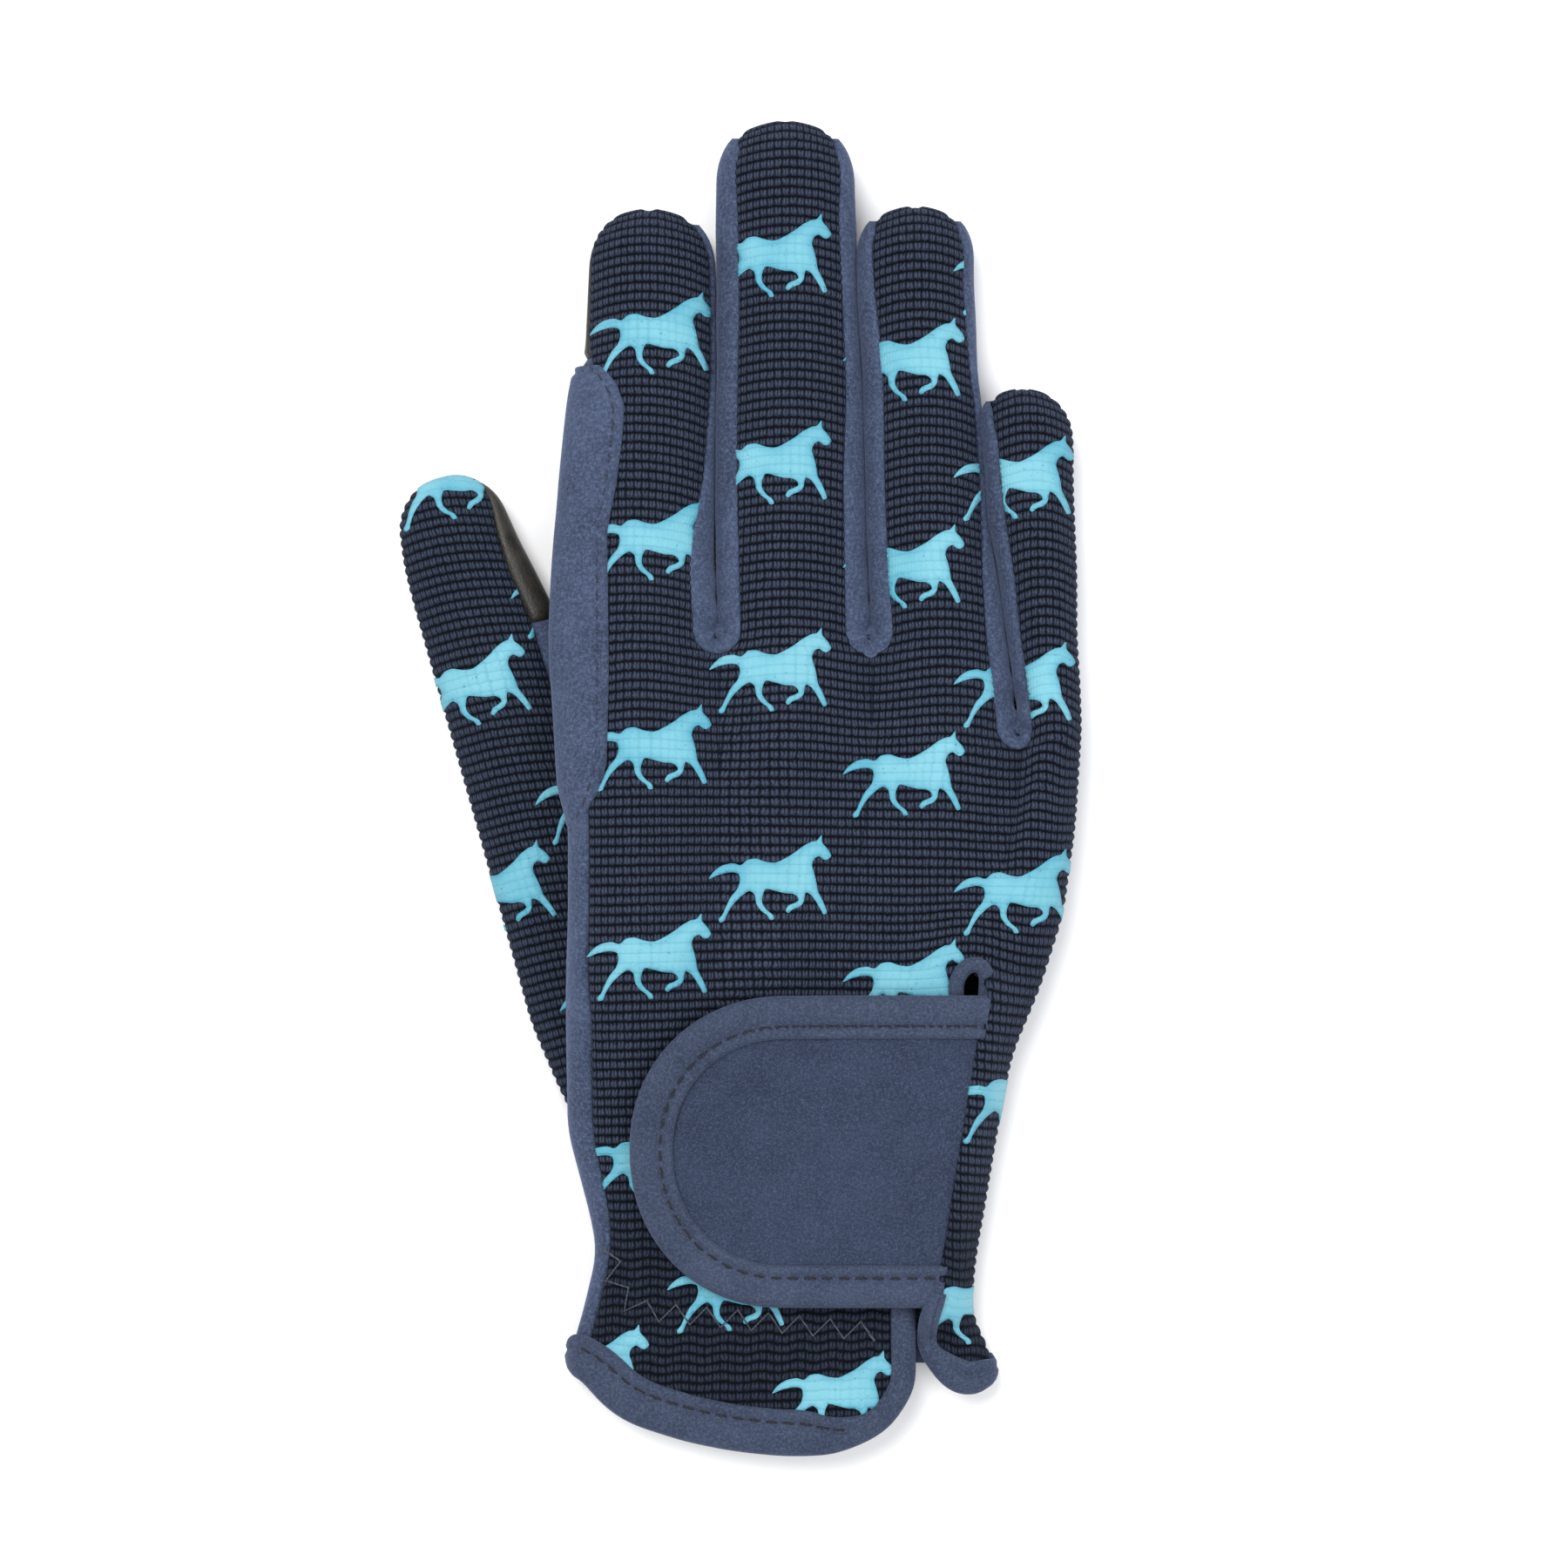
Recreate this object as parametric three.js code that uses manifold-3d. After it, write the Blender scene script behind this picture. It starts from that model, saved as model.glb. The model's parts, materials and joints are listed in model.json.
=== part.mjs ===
// A child's riding glove for the right hand, lying palm down, in millimetres.
// +Y runs from the cuff to the fingertips, +X from the thumb to the little finger, +Z up.
// The body is drawn in columns, one for each finger, that go on below the crotches
// and make the hand. Every panel is a thin wall on that one body form.
import * as THREE from "three";
import Module from "manifold-3d";
import * as BufferGeometryUtils from "three/addons/utils/BufferGeometryUtils.js";

const wasm = await Module();
wasm.setup();

// Main sizes
const GLOVE_LENGTH = 199; // cuff hem to the tip of the middle finger
const HAND_WIDTH = 78; // across the knuckles, without the thumb
const FINGER_HEIGHT = 12.5;
const KNUCKLE_HEIGHT = 14;
const CUFF_HEIGHT = 9.6;
const HAND_LIFT = 7.4; // how far the thumb below it raises the hand's index side
const FLOOR_SINK = 0.4; // how much of each round section is pressed flat on the floor

// Thumb
const THUMB_LENGTH = 103;
const THUMB_WIDTH = 20.5;
const THUMB_HEIGHT = 9.4;
const THUMB_ANGLE = 15.2; // degrees between the thumb and the hand's axis
const THUMB_TIP_ACROSS = -0.19; // share of the hand's width, from its index side
const THUMB_TIP_ALONG = 0.7374; // share of the glove's length
const THUMB_RISE = 1.7; // how much higher the thumb lies at its base
const THUMB_RISE_FADE = 0.45; // share of the thumb's length

// Walls and clearances
const KNIT_WALL = 1.3;
const SUEDE_WALL = 1.2;
const BINDING_WALL = 1;
const SEAM_GAP = 0.35; // between the edges of two panels
const LAY_GAP = 0.3; // between two layers that lie on each other
const PATCH_GAP = 0.4; // below the patch on the index side
const FINGER_CRACK = 1; // between the walls of neighbouring fingers
const CROTCH_RADIUS = 3.2; // round end of the slit between two fingers
const CROTCH_FADE = 22; // length over which the valley below a crotch runs out

// Closure
const SLIT_RADIUS = 2.4; // round top end of the wrist slit
const STRAP_LENGTH = 49;
const STRAP_WIDTH = 46.5;
const STRAP_WALL = 1.8;
const STRAP_RIM = 5.4; // width of the binding seen on top of the strap
const STRAP_END = 0.767; // its sewn end, as a share of the hand's width
const STRAP_MIDDLE = 0.2296; // share of the glove's length
const STRAP_SLANT = 0.158; // how its sewn end leans towards the knuckles
const STRAP_ROUND = 22.7; // how far its round end reaches
const STRAP_POWER = 2.1;
const PAD_INSET = 9;
const PAD_WALL = 1; // hook and loop fastener under the strap
const PAD_LENGTH = 27;
const PAD_WIDTH = 26;
const HEM_BINDING = 5.6; // width of the cuff binding seen on the broad flap
const EDGE_BINDING = 2; // width of the same binding along the slit
const LOOP_BINDING = 1.1; // and round the slit's top
const BINDING_REACH = 1.5; // width of each binding on its hidden side
const HEM_NARROWS = 0.42; // where it starts to narrow, across the hand
const HEM_FADE = 0.2;
const FOLD_CORNER = 0.45; // corners of a folded edge, as shares of its reach and its wall
const FOLD_SIDE = 0.25;

// Where the body's height changes, as shares of the glove's length
const FINGERS_START = 0.62;
const KNUCKLE_FADE = 0.1;
const WRIST_START = 0.42;
const WRIST_FADE = 0.28;
const LIFT_FLAT = 0.08; // share of the hand's width that is lifted fully
const LIFT_FADE = 0.5;

// Form of a section: 2 is a plain ellipse, more is boxier
const SECTION_POWER = 2.5;
const TIP_POWER = 2.25;
const SEAM_ANGLE = 44; // where the fourchettes meet the back and the palm, in degrees
const OUTER_SEAM = 48; // seam on the hand's index side
const LOW_SEAM = -10; // seam on its little finger side
const LAST_SEAM = 6; // half opening between back and palm where a fourchette ends
const HALF_STEPS = 3; // facets across half a column
const SEAM_CLOSES = 0.5; // share of a tip's dome where its seams start to close
const CLOSING = 0.4;
const LAST_FADE = 0.2;
const GUIDE_STEP = 12; // degrees past a seam
const LEVEL_SEAM = 13; // a seam nearer than this to the widest place is cut level

const RAD = Math.PI / 180;
const SEAM_TURN = 6 * SEAM_GAP; // degrees of half a seam gap round a finger
const THUMB_TURN = 9 * SEAM_GAP; // the same round the flatter thumb
const lerp = (a, b, t) => a + (b - a) * t;
const clamp = (v, a, b) => Math.min(b, Math.max(a, v));
const smooth = (t) => {
  const c = clamp(t, 0, 1);
  return c * c * (3 - 2 * c);
};

// Reads a table whose rows are sorted by their first column, and mixes the rows beside v.
function read(table, v) {
  const n = table.length;
  if (v <= table[0][0]) return table[0];
  if (v >= table[n - 1][0]) return table[n - 1];
  const i = table.findIndex((row) => row[0] > v);
  const t = (v - table[i - 1][0]) / (table[i][0] - table[i - 1][0]);
  return table[i].map((b, k) => lerp(table[i - 1][k], b, t));
}

// Fingers, from the crotch to the tip. Columns: place along the glove as a share of its
// length, left and right edge as shares of the hand's width, seam angle left and right.
const FINGERS = {
  index: {
    tip: 0.934,
    rows: [
      [0.615, 0.0, 0.306, 48, 44],
      [0.666, 0.003, 0.299, 48, 44],
      [0.69, 0.006, 0.298, 48, 40],
      [0.732, 0.015, 0.299, 48, 24],
      [0.797, 0.034, 0.301, 48, 12],
      [0.815, 0.045, 0.302, 40, 10],
      [0.83, 0.051, 0.302, 18, 10],
      [0.888, 0.058, 0.3, 12, 10],
      [0.934, 0.06, 0.293, 4, 6],
    ],
  },
  middle: {
    tip: 1.0,
    rows: [
      [0.615, 0.306, 0.598, 44, 44],
      [0.666, 0.302, 0.592, 44, 44],
      [0.732, 0.301, 0.587, 42, 44],
      [0.797, 0.303, 0.583, 43, 36],
      [0.862, 0.303, 0.572, 46, 32],
      [0.927, 0.303, 0.567, 44, 36],
      [1.0, 0.302, 0.565, 36, 26],
    ],
  },
  ring: {
    tip: 0.936,
    rows: [
      [0.545, 0.597, 0.879, 44, 44],
      [0.615, 0.598, 0.856, 44, 44],
      [0.66, 0.593, 0.84, 44, 38],
      [0.699, 0.587, 0.822, 46, 18],
      [0.732, 0.587, 0.817, 44, 14],
      [0.784, 0.583, 0.808, 45, 14],
      [0.81, 0.582, 0.802, 44, 20],
      [0.875, 0.57, 0.795, 40, 30],
      [0.936, 0.573, 0.792, 30, 22],
    ],
  },
  little: {
    tip: 0.799,
    rows: [
      [0.545, 0.879, 1.0, 44, -10],
      [0.575, 0.873, 0.998, 42, -10],
      [0.615, 0.858, 0.992, 40, -10],
      [0.66, 0.842, 0.992, 44, -10],
      [0.699, 0.822, 0.988, 46, -10],
      [0.725, 0.818, 0.985, 44, -10],
      [0.764, 0.81, 0.985, 40, -8],
      [0.799, 0.797, 0.968, 22, -6],
    ],
  },
};

// Crotches between the fingers: place across, and place along of the slit's round end.
const CROTCHES = [
  { across: 0.306, along: 0.601 },
  { across: 0.598, along: 0.601 },
  { across: 0.881, along: 0.53 },
];

// The hand below the crotches. Columns: along, index side edge, three lines between the
// columns, little finger side edge, crest of the last column as a share of its width.
const HAND = [
  [0.0, 0.022, 0.22, 0.45, 0.668, 0.832, 0.1],
  [0.063, 0.022, 0.22, 0.45, 0.668, 0.832, 0.1],
  [0.078, 0.024, 0.22, 0.452, 0.67, 0.825, 0.1],
  [0.105, 0.045, 0.225, 0.458, 0.68, 0.79, 0.1],
  [0.15, 0.072, 0.25, 0.47, 0.688, 0.8, 0.1],
  [0.175, 0.062, 0.262, 0.48, 0.705, 0.812, 0.1],
  [0.242, 0.017, 0.28, 0.505, 0.722, 0.84, 0.1],
  [0.3, 0.017, 0.292, 0.528, 0.745, 0.868, 0.12],
  [0.351, 0.018, 0.298, 0.545, 0.785, 0.922, 0.14],
  [0.405, 0.023, 0.304, 0.562, 0.823, 0.965, 0.2],
  [0.47, 0.023, 0.308, 0.582, 0.865, 0.988, 0.25],
  [0.53, 0.01, 0.309, 0.595, 0.881, 0.998, 0.4],
  [0.545, 0.008, 0.308, 0.597, 0.879, 1.0, 0.5],
  [0.601, 0.0, 0.306, 0.598, 0.862, 1.0, 0.5],
];
const HAND_STATIONS = [0.105, 0.15, 0.195, 0.242, 0.287, 0.325];
const KNUCKLE_STATIONS = [0.405, 0.445, 0.49];
const UPPER_STATIONS = [0.562, 0.583];

// The wrist slit. Columns: along, edge of the broad flap, edge of the narrow flap.
const SLIT_TOP = { across: 0.785, along: 0.365 };
const SLIT = [
  [0.0, 0.668, 0.702],
  [0.105, 0.665, 0.702],
  [0.137, 0.665, 0.703],
  [0.189, 0.68, 0.72],
  [0.242, 0.698, 0.74],
  [0.294, 0.715, 0.765],
  [0.32, 0.728, 0.788],
  [0.345, 0.757, 0.82],
];

// Hems as places along, read across each flap from its left edge to its right edge.
const BROAD_HEM = [
  [0.0, 0.0655],
  [0.06, 0.046],
  [0.14, 0.031],
  [0.3, 0.018],
  [0.45, 0.011],
  [0.62, 0.007],
  [0.78, 0.008],
  [0.9, 0.02],
  [0.97, 0.036],
  [1.0, 0.06],
];
const NARROW_HEM = [
  [0.0, 0.082],
  [0.25, 0.062],
  [0.5, 0.052],
  [0.8, 0.052],
  [1.0, 0.058],
];
const PALM_HEM = 0.065;
const HEM_STATIONS = [0.0783, 0.0917];

// Raised index side. Columns: along, share of the full lift.
const LIFT = [
  [0.222, 0],
  [0.25, 0.1],
  [0.287, 0.42],
  [0.333, 0.82],
  [0.385, 1],
  [0.535, 1],
  [0.6, 0.86],
  [0.673, 0.54],
  [0.75, 0.2],
  [0.83, 0],
];

// Suede patch where the rein runs. Columns: along, right edge across.
const REIN_PATCH = [
  [0.47, 0.04],
  [0.481, 0.063],
  [0.497, 0.088],
  [0.516, 0.103],
  [0.531, 0.104],
  [0.545, 0.105],
  [0.575, 0.105],
  [0.615, 0.104],
  [0.69, 0.102],
  [0.725, 0.118],
  [0.764, 0.129],
  [0.785, 0.132],
  [0.801, 0.117],
  [0.81, 0.1],
  [0.814, 0.082],
];
const REIN_PATCH_WRAP = -22; // degrees below the side's middle where the patch ends

// Thumb outline. Columns: share of the thumb's length from its base, left and right edge
// as shares of its width from the axis, seam angle left and right, share of its height.
const THUMB = [
  [0.0, -0.38, 0.46, -8, 44, 0.7],
  [0.1, -0.48, 0.46, -8, 44, 0.8],
  [0.2, -0.55, 0.46, -8, 44, 0.95],
  [0.5, -0.56, 0.45, -8, 44, 1],
  [0.76, -0.575, 0.415, -8, 44, 1],
  [0.84, -0.58, 0.335, -8, 40, 0.97],
  [0.89, -0.575, 0.28, -8, 34, 0.94],
  [0.94, -0.54, 0.24, -8, 26, 0.9],
  [1.0, -0.5, 0.2, -6, 6, 0.9],
];
const THUMB_STATIONS = [0, 0.1, 0.22, 0.34, 0.46, 0.58, 0.68, 0.758];
const THUMB_TOUCH_STATIONS = [0.762, 0.82, 0.87, 0.905];
const INDEX_TOUCH_START = 0.822; // share of the glove's length

// Round tips: shares of the dome from its start to its end
const DOME = [0, 0.35, 0.6, 0.8, 0.93, 1];
const STATION_STEP = 13; // between the sections of a finger
const LEAST_STEP = 0.3;
const HEM_STEPS = 3;
const SIDE_STEPS = 4; // facets down the side of a finger
const ARC_STEPS = 6; // facets round a crotch
const PATCH_STEPS = 5;
const STRAP_STEPS = 6;
const STRAP_ROWS = [-1, -0.985, -0.93, -0.8, -0.6, -0.3, 0, 0.3, 0.6, 0.8, 0.93, 0.985, 1];
const PAD_STEPS = 3;
const LOOP_STEPS = 6; // facets round the slit's top
const SLOPE_STEP = 0.4;
const LAST_SCALE = 0.24; // width left at the end of a dome

const X = (share) => share * HAND_WIDTH;
const Y = (share) => share * GLOVE_LENGTH;

// Height of the body at a place along it
function bodyHeight(along) {
  const knuckles = smooth((FINGERS_START - along) / KNUCKLE_FADE);
  const wrist = smooth((WRIST_START - along) / WRIST_FADE);
  return lerp(lerp(FINGER_HEIGHT, KNUCKLE_HEIGHT, knuckles), CUFF_HEIGHT, wrist);
}

function liftAt(x, y) {
  const rise = read(LIFT, y / GLOVE_LENGTH)[1];
  return HAND_LIFT * rise * (1 - smooth((x / HAND_WIDTH - LIFT_FLAT) / LIFT_FADE));
}

const NAMES = ["index", "middle", "ring", "little"];
const slitCentre = Y(SLIT_TOP.along) - SLIT_RADIUS;
const crotchCentre = (i) => Y(CROTCHES[i].along) + CROTCH_RADIUS;
const power = (v) => Math.pow(Math.max(v, 0), 2 / SECTION_POWER);
const across = (angle) => power(Math.cos(angle * RAD));
const upward = (angle) => power(Math.abs(Math.sin(angle * RAD)));

// Width and height left of a round tip at y
function domeScale(y, tip, length) {
  const u = clamp((y - (tip - length)) / length, 0, 1);
  return Math.pow(1 - Math.pow(u, TIP_POWER), 1 / TIP_POWER);
}

// Seams close on the middle of a tip; u runs from 0 to 1 over its dome.
function tipSeam(angle, u) {
  if (u < SEAM_CLOSES) return angle;
  const end = LAST_SEAM * (1 - smooth((u - 1 + LAST_FADE) / LAST_FADE));
  const closing = Math.abs(angle) * (1 - smooth((u - SEAM_CLOSES) / CLOSING));
  return Math.sign(angle) * Math.max(closing, end);
}

// One finger's section: centre, half widths, half height and seam angles
function fingerSection(i, y) {
  const finger = FINGERS[NAMES[i]];
  const row = read(finger.rows, y / GLOVE_LENGTH);
  const inLeft = i > 0 ? FINGER_CRACK / 2 : 0;
  const inRight = i < 3 ? FINGER_CRACK / 2 : 0;
  const left = X(row[1]) + inLeft;
  const right = X(row[2]) - inRight;
  const half = (right - left) / 2;
  const scale = domeScale(y, Y(finger.tip), half);
  const wide = Math.max(scale, LAST_SCALE);
  const u = (y - Y(finger.tip)) / half + 1;
  return {
    x: (left + right) / 2,
    left: half * wide,
    right: half * wide,
    height: bodyHeight(y / GLOVE_LENGTH) / 2,
    scale,
    seamLeft: tipSeam(row[3], u),
    seamRight: tipSeam(row[4], u),
    flatLeft: 0,
    flatRight: 0,
  };
}

// One column of the hand below the crotches. Edges are worked out for a panel that ends
// half a seam gap from the seam; with a slit, the back panel's wrist slit is left open.
function handSection(i, y, slit) {
  if (y >= crotchCentre(i === 3 ? 2 : 0) - 1e-6) return fingerSection(i, y);
  const row = read(HAND, y / GLOVE_LENGTH);
  const finger = fingerSection(i, y);
  const edge = [X(row[1 + i]), X(row[2 + i])];
  const seam = [i === 0 ? OUTER_SEAM : SEAM_ANGLE, i === 3 ? LOW_SEAM : SEAM_ANGLE];
  const flat = [0, 0];
  const left = edge[0];
  const right = edge[1];
  for (const side of [0, 1]) {
    const k = i - 1 + side;
    if (k < 0 || k > 2) continue;
    const turn = side ? 1 : -1;
    const centre = crotchCentre(k);
    const end = centre - CROTCH_RADIUS;
    if (y >= centre - 1e-6) {
      seam[side] = side ? finger.seamRight : finger.seamLeft;
      edge[side] = finger.x + turn * finger.right * across(seam[side] + SEAM_TURN);
    } else if (y > end) {
      const s = fingerSection(i, centre);
      const foot = X(CROTCHES[k].across);
      const there = s.x + turn * s.right * across(SEAM_ANGLE + SEAM_TURN);
      const u = (centre - y) / CROTCH_RADIUS;
      edge[side] = foot + (there - foot) * Math.sqrt(Math.max(1 - u * u, 0));
    }
    flat[side] = smooth((end - y) / CROTCH_FADE);
  }
  if (slit && y < Y(SLIT_TOP.along) && i > 1) {
    const u = clamp((y - slitCentre) / SLIT_RADIUS, 0, 1);
    const open = SLIT_RADIUS * Math.sqrt(1 - u * u);
    const flap = read(SLIT, y / GLOVE_LENGTH);
    const foot = X(SLIT_TOP.across);
    if (i === 2) edge[1] = u > 0 ? foot - open : Math.min(X(flap[1]), foot - open);
    if (i === 3) edge[0] = u > 0 ? foot + open : Math.min(X(flap[2]), foot + open);
  }
  const crest = i === 3 ? lerp(edge[0], right, row[6]) : (left + right) / 2;
  return {
    x: crest,
    left: (crest - edge[0]) / (i === 0 ? 1 : across(seam[0] + SEAM_TURN)),
    right: (edge[1] - crest) / (i === 3 ? 1 : across(seam[1] + SEAM_TURN)),
    height: bodyHeight(y / GLOVE_LENGTH) / 2,
    scale: 1,
    seamLeft: seam[0],
    seamRight: seam[1],
    flatLeft: flat[0],
    flatRight: flat[1],
  };
}

// A point of a section. The angle is 90 at the crest, 0 at the widest place and -90 below;
// side is -1 for the left half and 1 for the right half.
function sectionPoint(s, side, angle, y) {
  const half = side < 0 ? s.left : s.right;
  const flat = side < 0 ? s.flatLeft : s.flatRight;
  const x = s.x + side * half * across(angle);
  const centre = s.height - FLOOR_SINK;
  const rise = lerp(upward(angle), 1, flat) * s.height * s.scale;
  const z = angle >= 0 ? centre + rise : Math.max(centre - rise, 0);
  return new THREE.Vector3(x, y, z + liftAt(x, y));
}

// Angles from a pole to a seam and one step past it, as [angle, side] from left to right
function sweep(s, top, turn) {
  const pole = top ? 90 : -90;
  const list = [];
  for (const side of [-1, 1]) {
    const seam = side < 0 ? s.seamLeft : s.seamRight;
    const end = seam + turn;
    const half = [];
    for (let j = 1; j <= HALF_STEPS; j++) half.push([lerp(pole, end, j / HALF_STEPS), side]);
    half.push([end - Math.sign(pole) * GUIDE_STEP, side]);
    half[HALF_STEPS - 1].push(Math.abs(seam) < LEVEL_SEAM);
    if (side < 0) list.push(...half.reverse(), [pole, 1]);
    else list.push(...half);
  }
  return list;
}

// Points across one column. The first and the last lie past the seams: they only guide
// the direction in which the wall's rim is cut.
const columnRow = (s, y, top, turn) =>
  sweep(s, top, turn).map(([angle, side, level]) =>
    Object.assign(sectionPoint(s, side, angle, y), { level }),
  );

// The palm reaches up to the back's outer seams, and meets the fourchettes as far below
// the middle as the back meets them above it.
function palmSeams(s, i) {
  return {
    ...s,
    seamLeft: i > 0 ? -s.seamLeft : s.seamLeft,
    seamRight: i < 3 ? -s.seamRight : s.seamRight,
  };
}

// Closes a welded surface into a wall between two offsets along its normals. The first
// and the last cells of each row only guide the normals at the rim. A level point's
// normal has no height, and an upright wall is offset straight up.
function shell(patches, from, to, turned, upright) {
  const index = new Map();
  const at = [];
  const tris = [];
  const guides = [];
  const id = (p) => {
    const key = [p.x, p.y, p.z].map((v) => Math.round(v * 2000)).join(",");
    if (!index.has(key)) {
      index.set(key, at.length);
      at.push(p);
    }
    return index.get(key);
  };
  const add = (a, b, c, guide) => {
    if (a === b || b === c || c === a) return;
    (guide ? guides : tris).push(turned ? [a, c, b] : [a, b, c]);
  };
  for (const guide of [false, true])
    for (const rows of patches)
      for (let r = 0; r + 1 < rows.length; r++)
        for (let j = 0; j + 1 < rows[r].length; j++) {
          if (guide !== (j === 0 || j === rows[r].length - 2)) continue;
          const [a, b] = [id(rows[r][j]), id(rows[r][j + 1])];
          const [d, c] = [id(rows[r + 1][j]), id(rows[r + 1][j + 1])];
          add(a, b, c, guide);
          add(a, c, d, guide);
        }
  const normals = at.map(() => new THREE.Vector3());
  for (const t of [...tris, ...guides]) {
    const [p, q, r] = t.map((k) => at[k]);
    const n = q.clone().sub(p).cross(r.clone().sub(p)).normalize();
    t.forEach((k) => normals[k].add(n));
  }
  normals.forEach((n, k) => n.setZ(at[k].level ? 0 : n.z).normalize());
  if (upright) normals.forEach((n) => n.set(0, 0, 1));
  const edges = new Set();
  tris.forEach((t) => t.forEach((k, i) => edges.add(k + ">" + t[(i + 1) % 3])));
  const n = at.length;
  const faces = [];
  for (const [a, b, c] of tris) {
    faces.push([a, b, c], [a + n, c + n, b + n]);
    for (const [p, q] of [[a, b], [b, c], [c, a]])
      if (!edges.has(q + ">" + p)) faces.push([q, p, p + n], [q, p + n, q + n]);
  }
  const outer = at.map((p, k) => p.clone().addScaledVector(normals[k], to));
  const inner = at.map((p, k) => p.clone().addScaledVector(normals[k], from));
  const geometry = geometryOf([...outer, ...inner], faces);
  return BufferGeometryUtils.mergeVertices(geometry.toNonIndexed(), 1e-5);
}

function geometryOf(points, faces) {
  const geometry = new THREE.BufferGeometry();
  geometry.setAttribute(
    "position",
    new THREE.Float32BufferAttribute(points.flatMap((p) => [p.x, p.y, p.z]), 3),
  );
  geometry.setIndex(faces.flat());
  return geometry;
}

// A strip folded over an edge: path points with inward and upward directions
function foldedBinding(path, wall, reach) {
  const rings = path.map(({ p, inward, up, width }) => {
    const o = LAY_GAP;
    const out = o + BINDING_WALL;
    const profile = [
      [width, o],
      [-o, o],
      [-o, -wall - o],
      [reach, -wall - o],
      [reach, -wall - out],
      [-FOLD_CORNER * out, -wall - out],
      [-out, -wall * (1 - FOLD_SIDE) - o],
      [-out, o - wall * FOLD_SIDE],
      [-FOLD_CORNER * out, out],
      [width, out],
    ];
    return profile.map(([u, v]) => p.clone().addScaledVector(inward, u).addScaledVector(up, v));
  });
  return loft(rings);
}

// Joins rings of equally many points and closes the two ends
function loft(rings) {
  const m = rings[0].length;
  const points = rings.flat();
  const faces = [];
  for (let r = 0; r + 1 < rings.length; r++)
    for (let j = 0; j < m; j++) {
      const k = (j + 1) % m;
      const [a, b, c, d] = [r * m + j, r * m + k, (r + 1) * m + k, (r + 1) * m + j];
      faces.push([a, b, c], [a, c, d]);
    }
  const cap = (ring, start, turned) => {
    for (const t of THREE.ShapeUtils.triangulateShape(flatten(ring), [])) {
      const f = t.map((k) => start + k);
      faces.push(turned ? f.reverse() : f);
    }
  };
  cap(rings[0], 0, true);
  cap(rings.at(-1), (rings.length - 1) * m, false);
  return outward(geometryOf(points, faces));
}

// A ring's points in its own plane, turning the same way as the ring does
function flatten(ring) {
  const middle = new THREE.Vector3();
  ring.forEach((p) => middle.addScaledVector(p, 1 / ring.length));
  const normal = new THREE.Vector3();
  ring.forEach((p, i) => {
    const q = ring[(i + 1) % ring.length];
    normal.add(p.clone().sub(middle).cross(q.clone().sub(middle)));
  });
  normal.normalize();
  const u = ring[0].clone().sub(middle).normalize();
  const v = normal.clone().cross(u);
  return ring.map((p) => {
    const d = p.clone().sub(middle);
    return new THREE.Vector2(d.dot(u), d.dot(v));
  });
}

function outward(geometry) {
  const at = geometry.attributes.position;
  const index = geometry.index.array;
  const [a, b, c] = [new THREE.Vector3(), new THREE.Vector3(), new THREE.Vector3()];
  let volume = 0;
  for (let i = 0; i < index.length; i += 3) {
    a.fromBufferAttribute(at, index[i]);
    b.fromBufferAttribute(at, index[i + 1]);
    c.fromBufferAttribute(at, index[i + 2]);
    volume += a.dot(b.clone().cross(c));
  }
  if (volume < 0)
    for (let i = 0; i < index.length; i += 3)
      [index[i + 1], index[i + 2]] = [index[i + 2], index[i + 1]];
  return geometry;
}

// Turns closed geometry into a solid for joins and cuts, and back
function solidOf(geometry) {
  const bare = geometry.clone();
  bare.deleteAttribute("normal");
  bare.deleteAttribute("uv");
  const merged = BufferGeometryUtils.mergeVertices(bare, 1e-4);
  return new wasm.Manifold(
    new wasm.Mesh({
      numProp: 3,
      vertProperties: new Float32Array(merged.attributes.position.array),
      triVerts: new Uint32Array(merged.index.array),
    }),
  );
}

function geometryFrom(solid) {
  const mesh = solid.getMesh();
  const geometry = new THREE.BufferGeometry();
  geometry.setAttribute("position", new THREE.BufferAttribute(mesh.vertProperties, 3));
  geometry.setIndex(new THREE.BufferAttribute(mesh.triVerts, 1));
  return geometry;
}

// Stations along a finger from its crotches to its tip
function fingerStations(i) {
  const finger = FINGERS[NAMES[i]];
  const row = finger.rows.at(-1);
  const dome = X(row[2] - row[1]) / 2;
  const from = crotchCentre(i === 3 ? 2 : 0);
  const start = Y(finger.tip) - dome;
  const steps = Math.round((start - from) / STATION_STEP);
  const rows = [];
  for (let k = 0; k < steps; k++) rows.push(lerp(from, start, k / steps));
  return [...rows, ...DOME.map((u) => start + u * dome)];
}

// Keeps the stations between two places, with those places themselves
function between(stations, from, to) {
  const first = Math.max(from, stations[0]);
  const last = Math.min(to, stations.at(-1));
  const kept = stations.filter((y) => y > first + LEAST_STEP && y < last - LEAST_STEP);
  return [first, ...kept, last];
}

const panelRow = (s, i, y, top) =>
  columnRow(top ? s : palmSeams(s, i), y, top, top ? SEAM_TURN : -SEAM_TURN);

// Rows of one finger above its crotches; at the tip the panel closes on the seam line,
// half a gap away from its neighbour.
function fingerPatch(i, top, from = -Infinity, to = Infinity) {
  const stations = between(fingerStations(i), from, to);
  const rows = stations.map((y) => panelRow(fingerSection(i, y), i, y, top));
  if (to === Infinity) {
    const s = fingerSection(i, stations.at(-1));
    const z = s.height - FLOOR_SINK + (top ? SEAM_GAP / 2 : -SEAM_GAP / 2);
    rows.at(-1).forEach((p) => {
      p.z = z + liftAt(p.x, p.y);
      p.level = true;
    });
  }
  return rows;
}

const handPatch = (i, stations, top) =>
  stations.map((y) => panelRow(handSection(i, y, top), i, y, top));

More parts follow.
